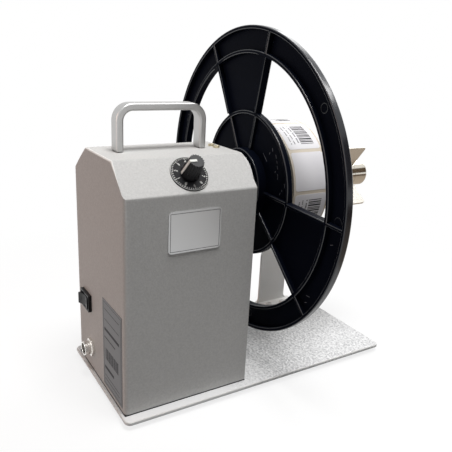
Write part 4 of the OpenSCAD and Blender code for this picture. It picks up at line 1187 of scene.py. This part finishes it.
@dataclass
class Studio:
    """The floor, the lamps, the sky and the camera."""

    eye: Triple = (-262.7, -393.1, 278.6)
    heading: float = 32.26
    pitch: float = 17.77
    roll: float = 2.94
    lens: float = 43.88
    sensor: float = 36.0
    nearest: float = 10.0
    farthest: float = 20000.0
    fill: float = 0.09
    floor_half: float = 6000.0
    floor_tone: str = "#9A9A9A"
    shadow_share: float = 0.2
    shadow_full_to: float = 250.0
    shadow_ends_at: float = 450.0

    def build(self) -> None:
        """Sets everything up."""
        self.camera()
        self.floor()
        self.sky()
        self.lamp("key", spot=(-40, -230, 1200), aim=(0, 0, 120), size=420, power=12.1)
        self.lamp("side", spot=(-1100, 250, 420), aim=(-100, 0, 110), size=700, power=2.9, colour="#FFDACA")
        self.lamp("back", spot=(820, 420, 700), aim=(20, -20, 10), size=700, power=4.7)
        # Cards seen only in reflections: the three brownish ones paint the reflection of a dim room in the
        # spindle, the fins and the reel's rim, and the glowing strip paints the rim's highlight
        self.card("reflection_card_front", spot=(615, -411, 401), aim=(130, 0, 167), size=(700, 340), colour="#7A6C5C")
        self.card("reflection_card_foot", spot=(615, -411, 59), aim=(130, 0, 59), size=(900, 118), colour="#84705F")
        self.card("reflection_card_low", spot=(470, -330, 2), aim=(470, -330, 900), size=(660, 980), colour="#B8AC9F")
        self.card("strip", spot=(520, -250, 1100), aim=(0, -80, 260), size=(200, 420), glow=12.0)
        bpy.context.scene.view_settings.view_transform = "Standard"

    def camera(self) -> None:
        """Places the camera where the picture was taken from."""
        az, down, lean = (math.radians(a) for a in (self.heading, self.pitch, self.roll))
        ahead = Vector((math.sin(az) * math.cos(down), math.cos(az) * math.cos(down), -math.sin(down)))
        right = Vector((math.cos(az), -math.sin(az), 0))
        tilted = math.cos(lean) * right + math.sin(lean) * right.cross(ahead)
        data = bpy.data.cameras.new("camera")
        data.lens, data.sensor_width = self.lens, self.sensor
        data.clip_start, data.clip_end = self.nearest * MM, self.farthest * MM
        camera = put("camera", data)
        camera.matrix_world = axes(Vector(self.eye) * MM, tilted, tilted.cross(ahead))
        bpy.context.scene.camera = camera

    def seen(self, tree: Tree) -> Socket:
        """Tells the rays that show a surface from those that only light others.

        Args:
            tree: The nodes of the surface or the sky.

        Returns:
            1 for rays of the camera, of gloss and of glass, and 0 for the rest.
        """
        path = add_node(tree, "ShaderNodeLightPath").outputs
        seen = path["Is Camera Ray"]
        for kind in ("Is Glossy Ray", "Is Transmission Ray"):
            seen = add_node(tree, "ShaderNodeMath", {0: seen, 1: path[kind]}, operation="MAXIMUM").outputs[0]
        return seen

    def floor(self) -> None:
        """Lays a pale floor that keeps the shadow, fades to white and throws little light back up."""
        bm = bmesh.new()
        bmesh.ops.create_grid(bm, x_segments=1, y_segments=1, size=self.floor_half * MM)
        floor = put("floor", store("floor", bm))
        surface = bpy.data.materials.new("floor_pale")
        tree = bare_tree(surface)
        dim = add_node(tree, "ShaderNodeBsdfDiffuse", {"Color": linear(self.floor_tone)})
        pale = add_node(tree, "ShaderNodeBsdfDiffuse", {"Color": linear(WHITE)})
        glow = add_node(tree, "ShaderNodeEmission", {"Color": linear(WHITE), "Strength": 1.0})
        place = add_node(tree, "ShaderNodeTexCoord").outputs["Object"]
        away = add_node(tree, "ShaderNodeVectorMath", {0: place}, operation="LENGTH").outputs["Value"]
        near, far = self.shadow_full_to * MM, self.shadow_ends_at * MM
        share = ramp(tree, away, near, far, self.shadow_share, 0.0)
        shown = add_node(tree, "ShaderNodeMixShader", {0: share, 1: glow.outputs[0], 2: pale.outputs[0]})
        both = {0: self.seen(tree), 1: dim.outputs[0], 2: shown.outputs[0]}
        mixed = add_node(tree, "ShaderNodeMixShader", both)
        add_node(tree, "ShaderNodeOutputMaterial", {"Surface": mixed.outputs[0]})
        floor.data.materials.append(surface)

    def facing(self, spot: Triple, along: Vector) -> Matrix:
        """Returns a frame at a spot, in metres, with Z along a direction."""
        return Matrix.Translation(Vector(spot) * MM) @ along.to_track_quat("Z", "Y").to_matrix().to_4x4()

    def card(self, name: str, spot: Triple, aim: Triple, size: tuple[float, float], colour: str = WHITE,
             glow: float = 0.0) -> None:
        """Stands a card out of the picture for polished faces to mirror. It lights nothing and casts no
        shadow: its colour, or its glow, is a painted reflection.

        Args:
            name: The card's name.
            spot: Its middle.
            aim: The point that it faces.
            size: Its width and height.
            colour: Its colour.
            glow: Strength of its own light.
        """
        bm = bmesh.new()
        place = self.facing(spot, Vector(aim) - Vector(spot))
        shape = place @ Matrix.Diagonal((size[0] * MM, size[1] * MM, 1.0, 1.0))
        bmesh.ops.create_grid(bm, x_segments=1, y_segments=1, size=0.5, matrix=shape)
        surface = Finish(f"card_{name}", colour, roughness=0.9, specular=0.0).material()
        shader = surface.node_tree.nodes["Principled BSDF"]
        shader.inputs["Emission Color"].default_value = linear(colour)
        shader.inputs["Emission Strength"].default_value = glow
        card = put(name, store(name, bm))
        card.data.materials.append(surface)
        card.visible_camera = card.visible_diffuse = card.visible_shadow = False

    def sky(self) -> None:
        """Sets a white background that lights the object only a little."""
        world = bpy.data.worlds.new("sky")
        bpy.context.scene.world = world
        tree = bare_tree(world)
        strength = ramp(tree, self.seen(tree), 0.0, 1.0, self.fill, 1.0)
        sky = add_node(tree, "ShaderNodeBackground", {"Color": linear(WHITE), "Strength": strength})
        add_node(tree, "ShaderNodeOutputWorld", {"Surface": sky.outputs[0]})

    def lamp(self, name: str, spot: Triple, aim: Triple, size: float, power: float,
             colour: str = WHITE) -> None:
        """Hangs a square soft lamp and turns it to a point.

        Args:
            name: The lamp's name.
            spot: Its middle.
            aim: The point that it shines at.
            size: Length of its side.
            power: Its power in watts.
            colour: Its colour.
        """
        data = bpy.data.lights.new(name, "AREA")
        data.shape, data.size, data.energy, data.color = "SQUARE", size * MM, power, linear(colour)[:3]
        put(name, data).matrix_world = self.facing(spot, Vector(spot) - Vector(aim))


def main() -> None:
    """Builds the looks of the whole machine."""
    logging.basicConfig(level=logging.INFO, format="%(name)s %(message)s")
    groups = (Footing, Enclosure, SpeedControl, LeftEnd, Reel, Spindle, LabelRoll, ControlBoard, Studio)
    for group in groups:
        group().build()


if __name__ == "__main__":
    main()
